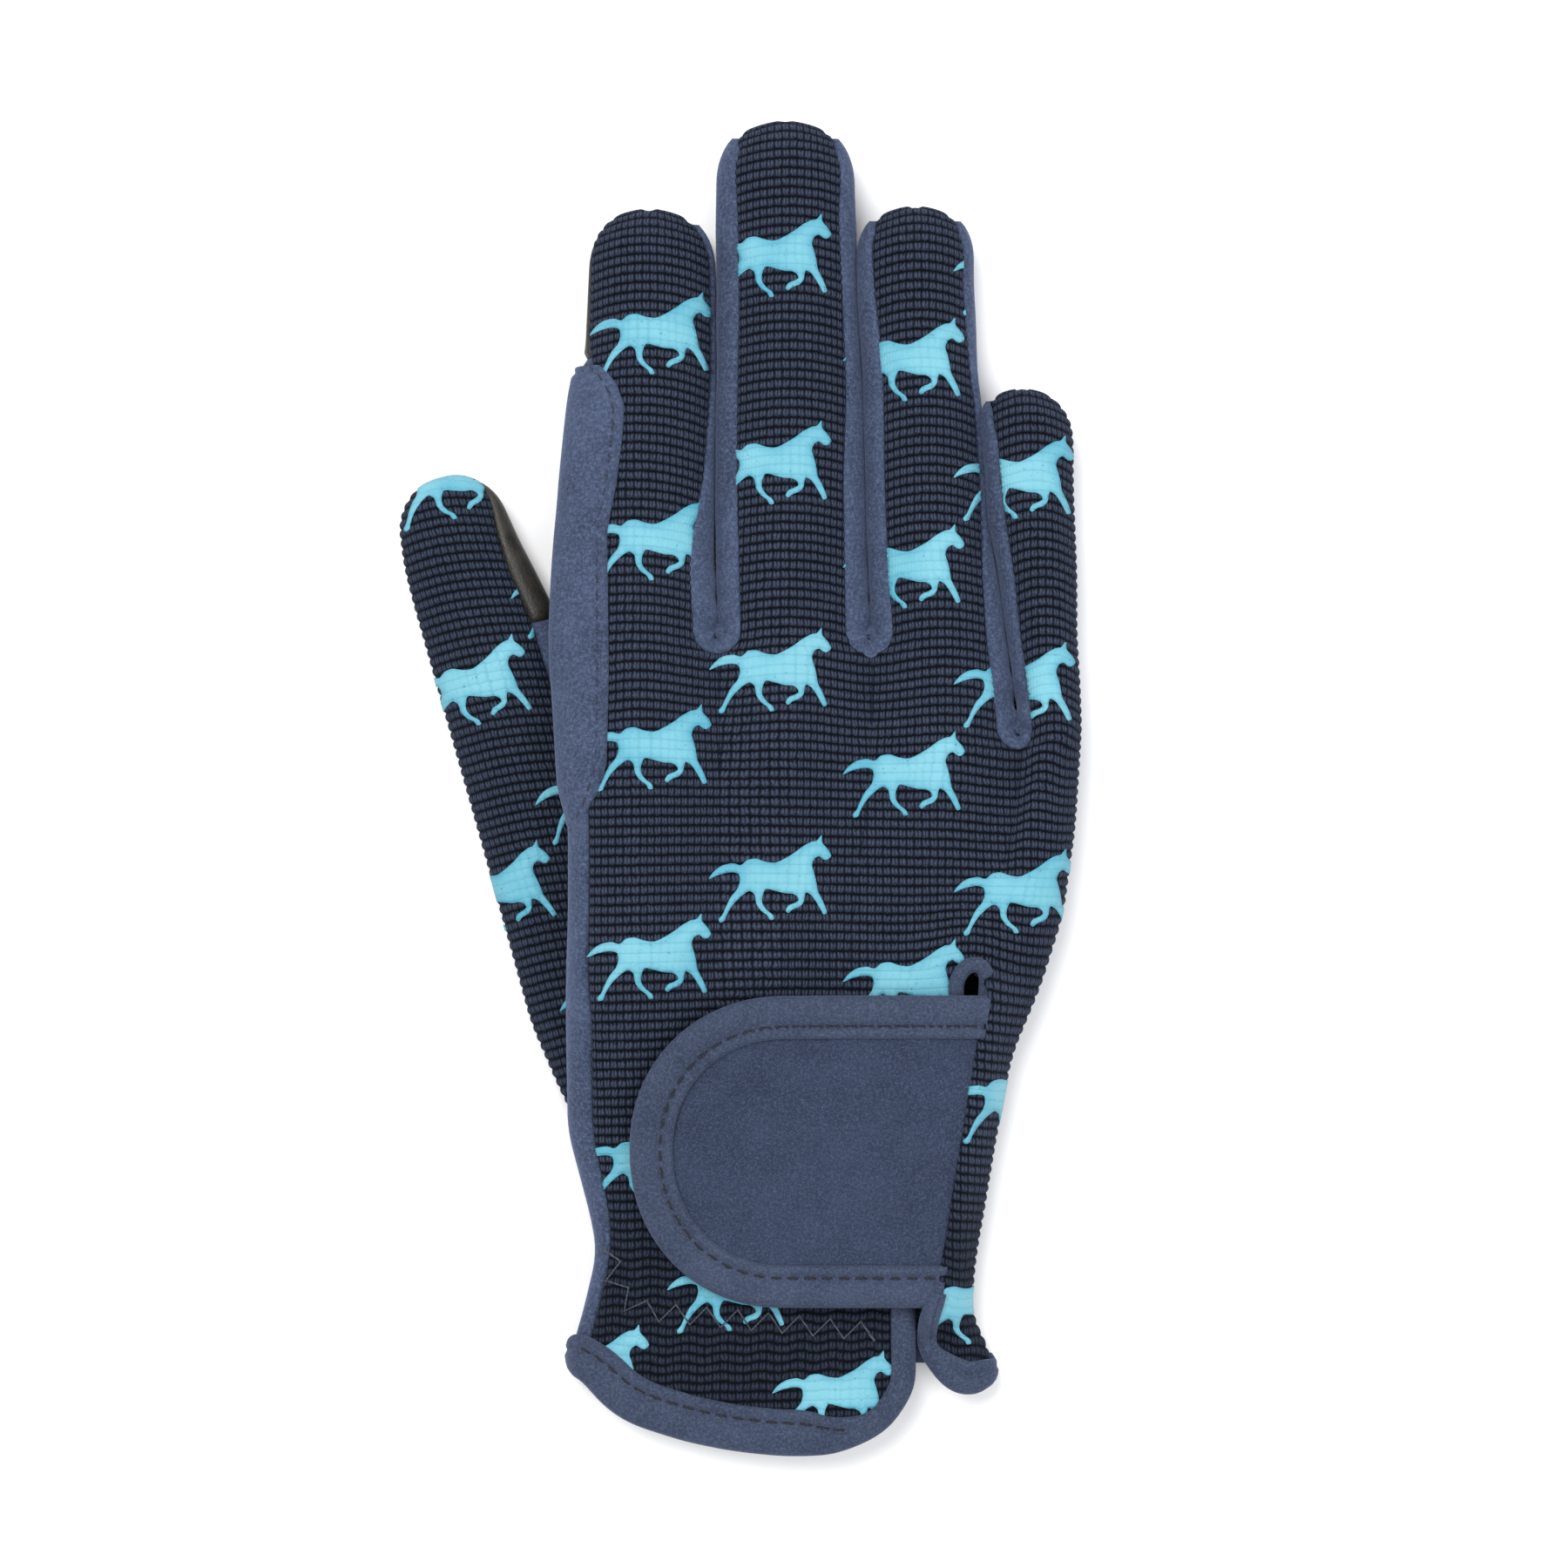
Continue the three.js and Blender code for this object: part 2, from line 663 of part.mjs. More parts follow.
// Heights of the round end of a slit, from its straight sides to its end
const ROUND_END = [0, 0.5, 0.87, 1];
const crotchRows = (i) => ROUND_END.map((t) => crotchCentre(i) - CROTCH_RADIUS * t).reverse();
const slitRows = ROUND_END.map((t) => slitCentre + SLIT_RADIUS * t);
const wristRows = HAND_STATIONS.map(Y);
const knuckleRows = [...KNUCKLE_STATIONS.map(Y), crotchRows(2)[0]];
const upperRows = [...crotchRows(2), ...UPPER_STATIONS.map(Y), ...crotchRows(0)];

// Rows between the lowest straight station of the wrist and a curved hem
function hemPatch(i, hem) {
  const from = wristRows[0];
  const flap = i < 3 ? [0, 2] : [3, 3];
  const first = panelRow(handSection(flap[0], from, true), flap[0], from, true)[1].x;
  const last = panelRow(handSection(flap[1], from, true), flap[1], from, true).at(-2).x;
  const straight = panelRow(handSection(i, from, true), i, from, true);
  const rows = [];
  for (let r = HEM_STEPS; r >= 0; r--)
    rows.push(
      straight.map((p, j) => {
        const end = Y(read(hem, clamp((p.x - first) / (last - first), 0, 1))[1]);
        const y = lerp(from, end, r / HEM_STEPS);
        return panelRow(handSection(i, y, true), i, y, true)[j];
      }),
    );
  return rows;
}

function backPatches() {
  const patches = [];
  for (let i = 0; i < 4; i++) {
    patches.push(hemPatch(i, i < 3 ? BROAD_HEM : NARROW_HEM));
    patches.push(handPatch(i, [...wristRows, ...slitRows, ...knuckleRows], true));
    patches.push(handPatch(i, i < 3 ? upperRows : crotchRows(2), true));
    patches.push(fingerPatch(i, true));
  }
  return patches;
}

function palmPatches() {
  const low = [PALM_HEM, ...HEM_STATIONS, ...HAND_STATIONS, SLIT_TOP.along].map(Y);
  const patches = [];
  for (let i = 0; i < 4; i++) {
    patches.push(handPatch(i, [...low, ...knuckleRows], false));
    patches.push(handPatch(i, i < 3 ? upperRows : crotchRows(2), false));
    const end = i === 0 ? Y(INDEX_TOUCH_START) - SEAM_GAP / 2 : Infinity;
    patches.push(fingerPatch(i, false, -Infinity, end));
  }
  return patches;
}

const indexTouchPatch = () => [fingerPatch(0, false, Y(INDEX_TOUCH_START) + SEAM_GAP / 2)];

// Side walls of two neighbouring fingers and the round crotch between them
function fourchettePatch(k) {
  const strip = (s, side, y) => {
    const seam = (side > 0 ? s.seamRight : s.seamLeft) - SEAM_TURN;
    const points = [];
    for (let v = 0; v <= SIDE_STEPS; v++)
      points.push(sectionPoint(s, side, lerp(seam, -seam, v / SIDE_STEPS), y));
    points.unshift(sectionPoint(s, side, seam + GUIDE_STEP, y));
    points.push(sectionPoint(s, side, -seam - GUIDE_STEP, y));
    return points;
  };
  const centre = crotchCentre(k);
  const leg = (i) => {
    const side = i === k ? 1 : -1;
    const stations = fingerStations(i).slice(0, -2);
    const low = upperRows.filter((y) => y > centre - LEAST_STEP && y < stations[0] - LEAST_STEP);
    return [...low, ...stations].map((y) => strip(handSection(i, y, false), side, y));
  };
  const left = leg(k).reverse();
  const right = leg(k + 1);
  const foot = new THREE.Vector3(X(CROTCHES[k].across), centre, 0);
  const back = fingerSection(k, centre);
  const edge = foot.x - back.x - back.right * across(SEAM_ANGLE + SEAM_TURN);
  const arc = [];
  for (let a = 1; a < ARC_STEPS; a++) {
    const t = a / ARC_STEPS;
    arc.push(
      left.at(-1).map((p, v) => {
        const q = right[0][v];
        const away = lerp(foot.x - p.x, q.x - foot.x, t);
        const x = foot.x - away * Math.cos(Math.PI * t);
        const y = centre - away * (CROTCH_RADIUS / edge) * Math.sin(Math.PI * t);
        const z = lerp(p.z, q.z, t);
        return new THREE.Vector3(x, y, z);
      }),
    );
  }
  return [...left, ...arc, ...right];
}

// The thumb, in its own frame: base at the origin, tip along +Y
const thumbDome = ((THUMB.at(-1)[2] - THUMB.at(-1)[1]) * THUMB_WIDTH) / 2;
function thumbSection(share) {
  const row = read(THUMB, share);
  const u = ((share - 1) * THUMB_LENGTH) / thumbDome + 1;
  const scale = domeScale(share * THUMB_LENGTH, THUMB_LENGTH, thumbDome);
  const half = ((row[2] - row[1]) / 2) * THUMB_WIDTH * Math.max(scale, LAST_SCALE);
  return {
    x: ((row[1] + row[2]) / 2) * THUMB_WIDTH,
    left: half,
    right: half,
    height: (THUMB_HEIGHT / 2) * row[5],
    scale,
    seamLeft: tipSeam(row[3], u),
    seamRight: tipSeam(row[4], u),
    flatLeft: 0,
    flatRight: 0,
  };
}

// From the thumb's own frame to the glove's
function thumbPlace(p) {
  const angle = THUMB_ANGLE * RAD;
  const back = p.y - THUMB_LENGTH;
  const x = X(THUMB_TIP_ACROSS) + p.x * Math.cos(angle) - back * Math.sin(angle);
  const y = Y(THUMB_TIP_ALONG) + p.x * Math.sin(angle) + back * Math.cos(angle);
  const rise = THUMB_RISE * smooth(1 - p.y / (THUMB_LENGTH * THUMB_RISE_FADE));
  return new THREE.Vector3(x, y, p.z + rise);
}

function thumbPoint(s, side, angle, share) {
  const half = side < 0 ? s.left : s.right;
  const centre = s.height - FLOOR_SINK;
  const z = Math.max(centre + Math.sign(angle) * upward(angle) * s.height * s.scale, 0);
  return new THREE.Vector3(s.x + side * half * across(angle), share * THUMB_LENGTH, z);
}

function thumbPatch(stations, top) {
  const rows = stations.map((share) => {
    const s = thumbSection(share);
    const turn = top ? THUMB_TURN : -THUMB_TURN;
    return sweep(s, top, turn).map(([angle, side, level]) =>
      Object.assign(thumbPlace(thumbPoint(s, side, angle, share)), { level }),
    );
  });
  const middle = thumbSection(1).height - FLOOR_SINK;
  if (stations.at(-1) === 1)
    rows.at(-1).forEach((p) => {
      p.z = middle + (top ? SEAM_GAP / 2 : -SEAM_GAP / 2);
      p.level = true;
    });
  return rows;
}

const thumbTip = DOME.slice(1).map((u) => 1 + ((u - 1) * thumbDome) / THUMB_LENGTH);

// The space that the thumb fills, grown by a seam gap, to cut its hole in the palm
function thumbBulk() {
  const rings = THUMB_STATIONS.map((share) => {
    const s = thumbSection(share);
    const ring = [];
    for (let a = 0; a < 4 * HALF_STEPS; a++) {
      const angle = (a * 90) / HALF_STEPS;
      const side = angle > 90 && angle < 270 ? -1 : 1;
      const tilt = Math.asin(Math.sin(angle * RAD)) / RAD;
      const p = thumbPoint(s, side, tilt, share);
      p.x += SEAM_GAP * Math.cos(angle * RAD);
      p.z += SEAM_GAP * Math.sin(angle * RAD);
      ring.push(thumbPlace(p));
    }
    return ring;
  });
  return loft(rings);
}

// The suede over the index side: from its own right edge over the side and under it
function reinPatch() {
  return REIN_PATCH.map(([along, edge]) => {
    const y = Y(along);
    const s = handSection(0, y, false);
    const d = clamp((s.x - X(edge)) / s.left, 0, 1);
    const from = Math.acos(Math.pow(d, SECTION_POWER / 2)) / RAD;
    const points = [];
    for (let j = -1; j <= PATCH_STEPS + 1; j++) {
      const angle = Math.min(lerp(from, REIN_PATCH_WRAP, j / PATCH_STEPS), 90);
      points.push(sectionPoint(s, -1, angle, y));
    }
    return points.reverse();
  });
}

// Top of the back panel over a place of the hand
function topAt(x, y) {
  let best = 0;
  for (let i = 0; i < 4; i++) {
    const s = handSection(i, y, false);
    const half = x < s.x ? s.left : s.right;
    const flat = x < s.x ? s.flatLeft : s.flatRight;
    const d = Math.abs(x - s.x) / half;
    if (d > 1) continue;
    const angle = Math.acos(Math.pow(d, SECTION_POWER / 2)) / RAD;
    const rise = lerp(upward(angle), 1, flat) * s.height;
    best = Math.max(best, s.height - FLOOR_SINK + rise + liftAt(x, y));
  }
  return best;
}

// The strap lies on its fastener pad. A place on it: u from its sewn end to its round
// end, v from -1 at the cuff side to 1 at the knuckle side, inset from its outline.
function strapPlace(u, v, inset) {
  const half = STRAP_WIDTH / 2 - inset;
  const reach = STRAP_ROUND - inset;
  const y = Y(STRAP_MIDDLE) + v * half;
  const right = X(STRAP_END) + (y - Y(STRAP_MIDDLE)) * STRAP_SLANT;
  const bow = 1 - Math.pow(1 - Math.pow(Math.abs(v), STRAP_POWER), 1 / STRAP_POWER);
  const left = X(STRAP_END) - STRAP_LENGTH + inset + reach * bow;
  return [lerp(right, left, u), y];
}

const strapBase = LAY_GAP + PAD_WALL + LAY_GAP;
const onBack = ([x, y], height) => new THREE.Vector3(x, y, topAt(x, y) + height);

function strapPatch(inset) {
  return STRAP_ROWS.map((v) => {
    const row = [];
    for (let u = STRAP_STEPS + 1; u >= -1; u--)
      row.push(onBack(strapPlace(u / STRAP_STEPS, v, inset), 0));
    return row;
  });
}

function padPatch() {
  const rows = [];
  for (let r = 0; r <= PAD_STEPS; r++) {
    const row = [];
    for (let c = -1; c <= PAD_STEPS + 1; c++) {
      const x = X(STRAP_END) - STRAP_LENGTH + PAD_INSET + (PAD_LENGTH * c) / PAD_STEPS;
      const y = Y(STRAP_MIDDLE) + PAD_WIDTH * (r / PAD_STEPS - 0.5);
      row.push(onBack([x, y], 0));
    }
    rows.push(row);
  }
  return rows;
}

// Directions along a path of edge points on the back, with its cloth on the left
function edgeFrames(points, width) {
  return points.map((p, i) => {
    const a = points[Math.max(i - 1, 0)];
    const b = points[Math.min(i + 1, points.length - 1)];
    const along = b.clone().sub(a).normalize();
    const slope = (topAt(p.x + SLOPE_STEP, p.y) - topAt(p.x - SLOPE_STEP, p.y)) / (2 * SLOPE_STEP);
    const up = new THREE.Vector3(-clamp(slope, -1, 1), 0, 1);
    up.addScaledVector(along, -up.dot(along)).normalize();
    return { p, inward: up.clone().cross(along), up, width: width(p) };
  });
}

// The same for the strap, whose wall is upright: the fold follows the slope below it
function strapFrames(points) {
  return points.map((p, i) => {
    const a = points[Math.max(i - 1, 0)];
    const b = points[Math.min(i + 1, points.length - 1)];
    const up = new THREE.Vector3(0, 0, 1);
    const inward = up.clone().cross(b.clone().sub(a)).normalize();
    const there = topAt(p.x + inward.x * SLOPE_STEP, p.y + inward.y * SLOPE_STEP);
    inward.z = (there - topAt(p.x, p.y)) / SLOPE_STEP;
    return { p, inward, up, width: STRAP_RIM - edgeRoom };
  });
}

// Edge of a flap from its first seam along the hem, and where it turns up its slit side
const hemEdge = (i) => hemPatch(i, i < 3 ? BROAD_HEM : NARROW_HEM)[0].slice(1, -1);
const sideEdge = (i, k) => hemPatch(i, i < 3 ? BROAD_HEM : NARROW_HEM).map((row) => row.at(k));
const strapEdge = Y(STRAP_MIDDLE) - STRAP_WIDTH / 2;

function broadFlapEdge() {
  const hem = [...hemEdge(0), ...hemEdge(1).slice(1), ...hemEdge(2).slice(1)];
  const top = strapEdge - LAY_GAP;
  const end = panelRow(handSection(2, top, true), 2, top, true).at(-2);
  return [...hem, ...sideEdge(2, -2).slice(1), end];
}

function narrowFlapEdge() {
  const top = strapEdge - LAY_GAP;
  const start = panelRow(handSection(3, top, true), 3, top, true)[1];
  return [start, ...sideEdge(3, 1).reverse(), ...hemEdge(3).slice(1)];
}

function slitTopEdge() {
  const foot = X(SLIT_TOP.across);
  const points = [];
  for (let k = 0; k <= LOOP_STEPS; k++) {
    const angle = Math.PI * (1 - k / LOOP_STEPS);
    const x = foot + SLIT_RADIUS * Math.cos(angle);
    points.push(onBack([x, slitCentre + SLIT_RADIUS * Math.sin(angle)], 0));
  }
  return points;
}

// The binding is wide along the hem and narrow where it turns up the slit.
function hemWidth(p) {
  const t = smooth((p.x - X(HEM_NARROWS)) / X(HEM_FADE));
  return lerp(HEM_BINDING, EDGE_BINDING, t);
}

function strapEdgePath() {
  const place = (u, v) => onBack(strapPlace(u, v, edgeRoom), strapBase + STRAP_WALL);
  const straight = [];
  for (let k = 0; k < STRAP_STEPS; k++) straight.push(k / STRAP_STEPS);
  return [
    ...straight.map((u) => place(u, 1)),
    ...[...STRAP_ROWS].reverse().map((v) => place(1, v)),
    ...straight.reverse().map((u) => place(u, -1)),
  ];
}

const edgeRoom = LAY_GAP + BINDING_WALL;

const knit = new THREE.MeshStandardMaterial({ color: 0x2e3545, roughness: 0.9, metalness: 0 });
const suede = new THREE.MeshStandardMaterial({ color: 0x4d5a74, roughness: 0.95, metalness: 0 });
const touch = new THREE.MeshStandardMaterial({ color: 0x2b2a25, roughness: 0.6, metalness: 0 });
const hook = new THREE.MeshStandardMaterial({ color: 0x23262e, roughness: 0.95, metalness: 0 });

const glove = new THREE.Group();
function piece(name, geometry, material) {
  const mesh = new THREE.Mesh(geometry, material);
  mesh.name = name;
  glove.add(mesh);
}

piece("back_panel", shell(backPatches(), -KNIT_WALL, 0, false), knit);

const palm = solidOf(shell(palmPatches(), -SUEDE_WALL, 0, true)).subtract(solidOf(thumbBulk()));
piece("palm_panel", geometryFrom(palm), suede);
piece("index_touch_tip", shell(indexTouchPatch(), -SUEDE_WALL, 0, true), touch);

["index_middle", "middle_ring", "ring_little"].forEach((name, k) =>
  piece("fourchette_" + name, shell([fourchettePatch(k)], -SUEDE_WALL, 0, true), suede),
);

piece("rein_patch", shell([reinPatch()], PATCH_GAP, PATCH_GAP + SUEDE_WALL, false), suede);

const thumbTop = [...THUMB_STATIONS, ...THUMB_TOUCH_STATIONS.slice(1), ...thumbTip];
piece("thumb_back", shell([thumbPatch(thumbTop, true)], -KNIT_WALL, 0, false), knit);
piece("thumb_front", shell([thumbPatch(THUMB_STATIONS, false)], -SUEDE_WALL, 0, true), suede);
const thumbTouch = [...THUMB_TOUCH_STATIONS, ...thumbTip];
piece("thumb_touch_patch", shell([thumbPatch(thumbTouch, false)], -SUEDE_WALL, 0, true), touch);

piece("fastener_pad", shell([padPatch()], LAY_GAP, LAY_GAP + PAD_WALL, false, true), hook);
piece(
  "strap",
  shell([strapPatch(edgeRoom)], strapBase, strapBase + STRAP_WALL, false, true),
  suede,
);

piece(
  "strap_binding",
  foldedBinding(strapFrames(strapEdgePath()), STRAP_WALL, BINDING_REACH),
  suede,
);
piece(
  "cuff_binding",
  foldedBinding(edgeFrames(broadFlapEdge(), hemWidth), KNIT_WALL, BINDING_REACH),
  suede,
);
piece(
  "narrow_flap_binding",
  foldedBinding(edgeFrames(narrowFlapEdge(), () => EDGE_BINDING), KNIT_WALL, BINDING_REACH),
  suede,
);
piece(
  "slit_loop_binding",
  foldedBinding(edgeFrames(slitTopEdge(), () => LOOP_BINDING), KNIT_WALL, LOOP_BINDING),
  suede,
);

// The origin is at the bottom centre of the whole glove.
const box = new THREE.Box3().setFromObject(glove);
const middle = box.getCenter(new THREE.Vector3());
glove.position.set(-middle.x, -middle.y, -box.min.z);

export default glove;
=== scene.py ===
"""Looks for a child's riding glove that lies palm down: ribbed knit back, suede palm and
side walls, a wrist strap and a small running-horse print. Lengths are in millimetres
until a mesh is made. +Y runs to the fingertips, +X to the little finger, +Z up."""

import json
import math

import bpy
import numpy as np
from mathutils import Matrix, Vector
from mathutils.bvhtree import BVHTree
from mathutils.geometry import delaunay_2d_cdt
from mathutils.kdtree import KDTree

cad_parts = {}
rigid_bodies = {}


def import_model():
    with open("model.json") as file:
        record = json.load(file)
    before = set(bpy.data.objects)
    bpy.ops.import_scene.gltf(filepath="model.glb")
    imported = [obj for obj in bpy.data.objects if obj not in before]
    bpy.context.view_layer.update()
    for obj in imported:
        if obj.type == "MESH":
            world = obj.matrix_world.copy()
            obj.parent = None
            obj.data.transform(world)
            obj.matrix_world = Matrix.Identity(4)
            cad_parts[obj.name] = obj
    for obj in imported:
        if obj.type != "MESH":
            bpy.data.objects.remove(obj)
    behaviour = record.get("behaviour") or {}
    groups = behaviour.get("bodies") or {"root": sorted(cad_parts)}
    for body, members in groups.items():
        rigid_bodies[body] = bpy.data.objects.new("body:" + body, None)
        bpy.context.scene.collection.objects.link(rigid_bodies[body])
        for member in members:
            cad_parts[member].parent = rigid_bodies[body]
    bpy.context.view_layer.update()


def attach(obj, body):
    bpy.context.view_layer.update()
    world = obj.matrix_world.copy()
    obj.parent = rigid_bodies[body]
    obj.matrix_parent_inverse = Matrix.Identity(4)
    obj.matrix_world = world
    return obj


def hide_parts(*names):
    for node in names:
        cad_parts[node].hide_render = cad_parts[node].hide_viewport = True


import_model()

MM = 0.001
ORIGIN = (27.1074, 99.5658)  # the row's origin, in the tables' frame

# Sizes of the solids
GLOVE_LENGTH = 199.0
HAND_WIDTH = 78.0
FINGER_HEIGHT = 12.5
KNUCKLE_HEIGHT = 14.0
CUFF_HEIGHT = 9.6
HAND_LIFT = 7.4
FLOOR_SINK = 0.4
THUMB_LENGTH = 103.0
THUMB_WIDTH = 20.5
THUMB_HEIGHT = 9.4
THUMB_ANGLE = 15.2
THUMB_TIP = (-0.19, 0.7374)
THUMB_RISE = 1.7
FINGER_CRACK = 1.0
CROTCH_RADIUS = 3.2
CROTCH_FADE = 22.0
SLIT_RADIUS = 2.4
STRAP_LENGTH = 49.0
STRAP_WIDTH = 46.5
STRAP_WALL = 1.8
STRAP_END = 0.767
STRAP_MIDDLE = 0.2296
STRAP_SLANT = 0.158
STRAP_ROUND = 22.7
STRAP_POWER = 2.1
STRAP_BASE = 1.6
SECTION_POWER = 2.5
TIP_POWER = 2.25
SEAM_ANGLE = 44.0
OUTER_SEAM = 48.0
LOW_SEAM = -10.0
LAST_SCALE = 0.24

# Cloth
RIB_PITCH = 1.42
WALE_PITCH = 1.15
RIB_HEIGHT = 0.36
KNIT_WALL = 1.1
SUEDE_WALL = 0.9
ROW_STEP = 0.235
FINE_ROWS = 6
FINE_COLUMNS = 4
HALF_COLUMNS = 14

# Columns: along, left and right edge across, seam angle left and right
FINGERS = [
    (0.934, [
        [0.615, 0.0, 0.306, 48, 44],
        [0.666, 0.003, 0.299, 48, 44],
        [0.69, 0.006, 0.298, 48, 40],
        [0.732, 0.015, 0.299, 48, 24],
        [0.797, 0.034, 0.301, 48, 12],
        [0.815, 0.045, 0.302, 40, 10],
        [0.83, 0.051, 0.302, 18, 10],
        [0.888, 0.058, 0.3, 12, 10],
        [0.934, 0.06, 0.293, 4, 6],
    ]),
    (1.0, [
        [0.615, 0.306, 0.598, 44, 44],
        [0.666, 0.302, 0.592, 44, 44],
        [0.732, 0.301, 0.587, 42, 44],
        [0.797, 0.303, 0.583, 43, 36],
        [0.862, 0.303, 0.572, 46, 32],
        [0.927, 0.303, 0.567, 44, 36],
        [1.0, 0.302, 0.565, 36, 26],
    ]),
    (0.936, [
        [0.545, 0.597, 0.879, 44, 44],
        [0.615, 0.598, 0.856, 44, 44],
        [0.66, 0.593, 0.84, 44, 38],
        [0.699, 0.587, 0.822, 46, 18],
        [0.732, 0.587, 0.817, 44, 14],
        [0.784, 0.583, 0.808, 45, 14],
        [0.81, 0.582, 0.802, 44, 20],
        [0.875, 0.57, 0.795, 40, 30],
        [0.936, 0.573, 0.792, 30, 22],
    ]),
    (0.799, [
        [0.545, 0.879, 1.0, 44, -10],
        [0.575, 0.873, 0.998, 42, -10],
        [0.615, 0.858, 0.992, 40, -10],
        [0.66, 0.842, 0.992, 44, -10],
        [0.699, 0.822, 0.988, 46, -10],
        [0.725, 0.818, 0.985, 44, -10],
        [0.764, 0.81, 0.985, 40, -8],
        [0.799, 0.797, 0.968, 22, -6],
    ]),
]
# Columns: across, along
CROTCHES = [(0.306, 0.601), (0.598, 0.601), (0.881, 0.53)]
# Columns: along, five edges across, crest of the last column
HAND = [
    [0.0, 0.022, 0.22, 0.45, 0.668, 0.832, 0.1],
    [0.063, 0.022, 0.22, 0.45, 0.668, 0.832, 0.1],
    [0.078, 0.024, 0.22, 0.452, 0.67, 0.825, 0.1],
    [0.105, 0.045, 0.225, 0.458, 0.68, 0.79, 0.1],
    [0.15, 0.072, 0.25, 0.47, 0.688, 0.8, 0.1],
    [0.175, 0.062, 0.262, 0.48, 0.705, 0.812, 0.1],
    [0.242, 0.017, 0.28, 0.505, 0.722, 0.84, 0.1],
    [0.3, 0.017, 0.292, 0.528, 0.745, 0.868, 0.12],
    [0.351, 0.018, 0.298, 0.545, 0.785, 0.922, 0.14],
    [0.405, 0.023, 0.304, 0.562, 0.823, 0.965, 0.2],
    [0.47, 0.023, 0.308, 0.582, 0.865, 0.988, 0.25],
    [0.53, 0.01, 0.309, 0.595, 0.881, 0.998, 0.4],
    [0.545, 0.008, 0.308, 0.597, 0.879, 1.0, 0.5],
    [0.601, 0.0, 0.306, 0.598, 0.862, 1.0, 0.5],
]
SLIT_TOP = (0.785, 0.365)
# Columns: along, edge of the broad flap, edge of the narrow flap where the strap is sewn in
SLIT = [
    [0.0, 0.668, 0.702],
    [0.105, 0.665, 0.702],
    [0.115, 0.665, 0.715],
    [0.137, 0.665, 0.727],
    [0.189, 0.68, 0.748],
    [0.242, 0.698, 0.769],
    [0.294, 0.715, 0.789],
    [0.32, 0.728, 0.8],
    [0.345, 0.757, 0.82],
]
BROAD_HEM = [
    [0.0, 0.0655], [0.06, 0.046], [0.14, 0.031], [0.3, 0.018], [0.45, 0.011],
    [0.62, 0.007], [0.78, 0.008], [0.9, 0.02], [0.97, 0.036], [1.0, 0.06],
]
NARROW_HEM = [[0.0, 0.082], [0.25, 0.062], [0.5, 0.052], [0.8, 0.052], [1.0, 0.058]]
PALM_HEM = 0.065
HEM_TOP = 0.105
# Columns: along, share of the full lift
LIFT = [
    [0.222, 0], [0.25, 0.1], [0.287, 0.42], [0.333, 0.82], [0.385, 1],
    [0.535, 1], [0.6, 0.86], [0.673, 0.54], [0.75, 0.2], [0.83, 0],
]
# Columns: along, right edge across
REIN_PATCH = [
    [0.47, 0.04], [0.481, 0.063], [0.497, 0.088], [0.516, 0.103], [0.531, 0.104],
    [0.575, 0.105], [0.615, 0.104], [0.69, 0.102], [0.725, 0.118], [0.764, 0.129],
    [0.785, 0.132], [0.801, 0.117], [0.81, 0.1], [0.814, 0.082],
]
REIN_PATCH_WRAP = -22.0
# Columns: share of the thumb's length, left and right edge, seam angles, height share
THUMB = [
    [0.0, -0.38, 0.46, -8, 46, 0.7],
    [0.1, -0.48, 0.46, -8, 48, 0.8],
    [0.2, -0.55, 0.46, -8, 50, 0.95],
    [0.5, -0.56, 0.45, -8, 53, 1],
    [0.76, -0.575, 0.415, -8, 56, 1],
    [0.84, -0.58, 0.335, -8, 55, 0.97],
    [0.89, -0.575, 0.28, -8, 50, 0.94],
    [0.94, -0.54, 0.24, -8, 38, 0.9],
    [1.0, -0.5, 0.2, -6, 6, 0.9],
]
INDEX_TOUCH_START = 0.822
THUMB_TOUCH_START = 0.76


def soft_table(rows, spread):
    """Returns a reader that mixes the rows beside a place and rounds the table's corners."""
    t = np.array(rows, float)
    offsets = np.linspace(-spread, spread, 5)

    def read(v):
        return [
            float(np.mean(np.interp(v + offsets, t[:, 0], t[:, k])))
            for k in range(t.shape[1])
        ]

    return read


read_fingers = [soft_table(rows, 0.009) for _, rows in FINGERS]
read_hand = soft_table(HAND, 0.012)
read_slit = soft_table(SLIT, 0.004)
read_broad = soft_table(BROAD_HEM, 0.03)
read_narrow = soft_table(NARROW_HEM, 0.05)
read_lift = soft_table(LIFT, 0.015)
read_patch = soft_table(REIN_PATCH, 0.004)
read_thumb = soft_table(THUMB, 0.02)


def clamp(v, a, b):
    return min(b, max(a, v))


def lerp(a, b, t):
    return a + (b - a) * t


def smooth(t):
    c = np.clip(t, 0, 1)
    return c * c * (3 - 2 * c)


def across(angle):
    return np.maximum(np.cos(np.radians(angle)), 0) ** (2 / SECTION_POWER)


def upward(angle):
    return np.abs(np.sin(np.radians(angle))) ** (2 / SECTION_POWER)


def body_height(along):
    knuckles = smooth((0.62 - along) / 0.1)
    wrist = smooth((0.42 - along) / 0.28)
    return lerp(lerp(FINGER_HEIGHT, KNUCKLE_HEIGHT, knuckles), CUFF_HEIGHT, wrist)


def lift_at(x, y):
    rise = read_lift(y / GLOVE_LENGTH)[1]
    return HAND_LIFT * rise * (1 - smooth((x / HAND_WIDTH - 0.08) / 0.5))


def dome_scale(y, tip, length):
    u = clamp((y - (tip - length)) / length, 0, 1)
    return (1 - u**TIP_POWER) ** (1 / TIP_POWER)


def tip_seam(angle, u):
    if u < 0.5:
        return angle
    end = 6 * (1 - smooth((u - 0.8) / 0.2))
    return math.copysign(max(abs(angle) * (1 - smooth((u - 0.5) / 0.4)), end), angle)


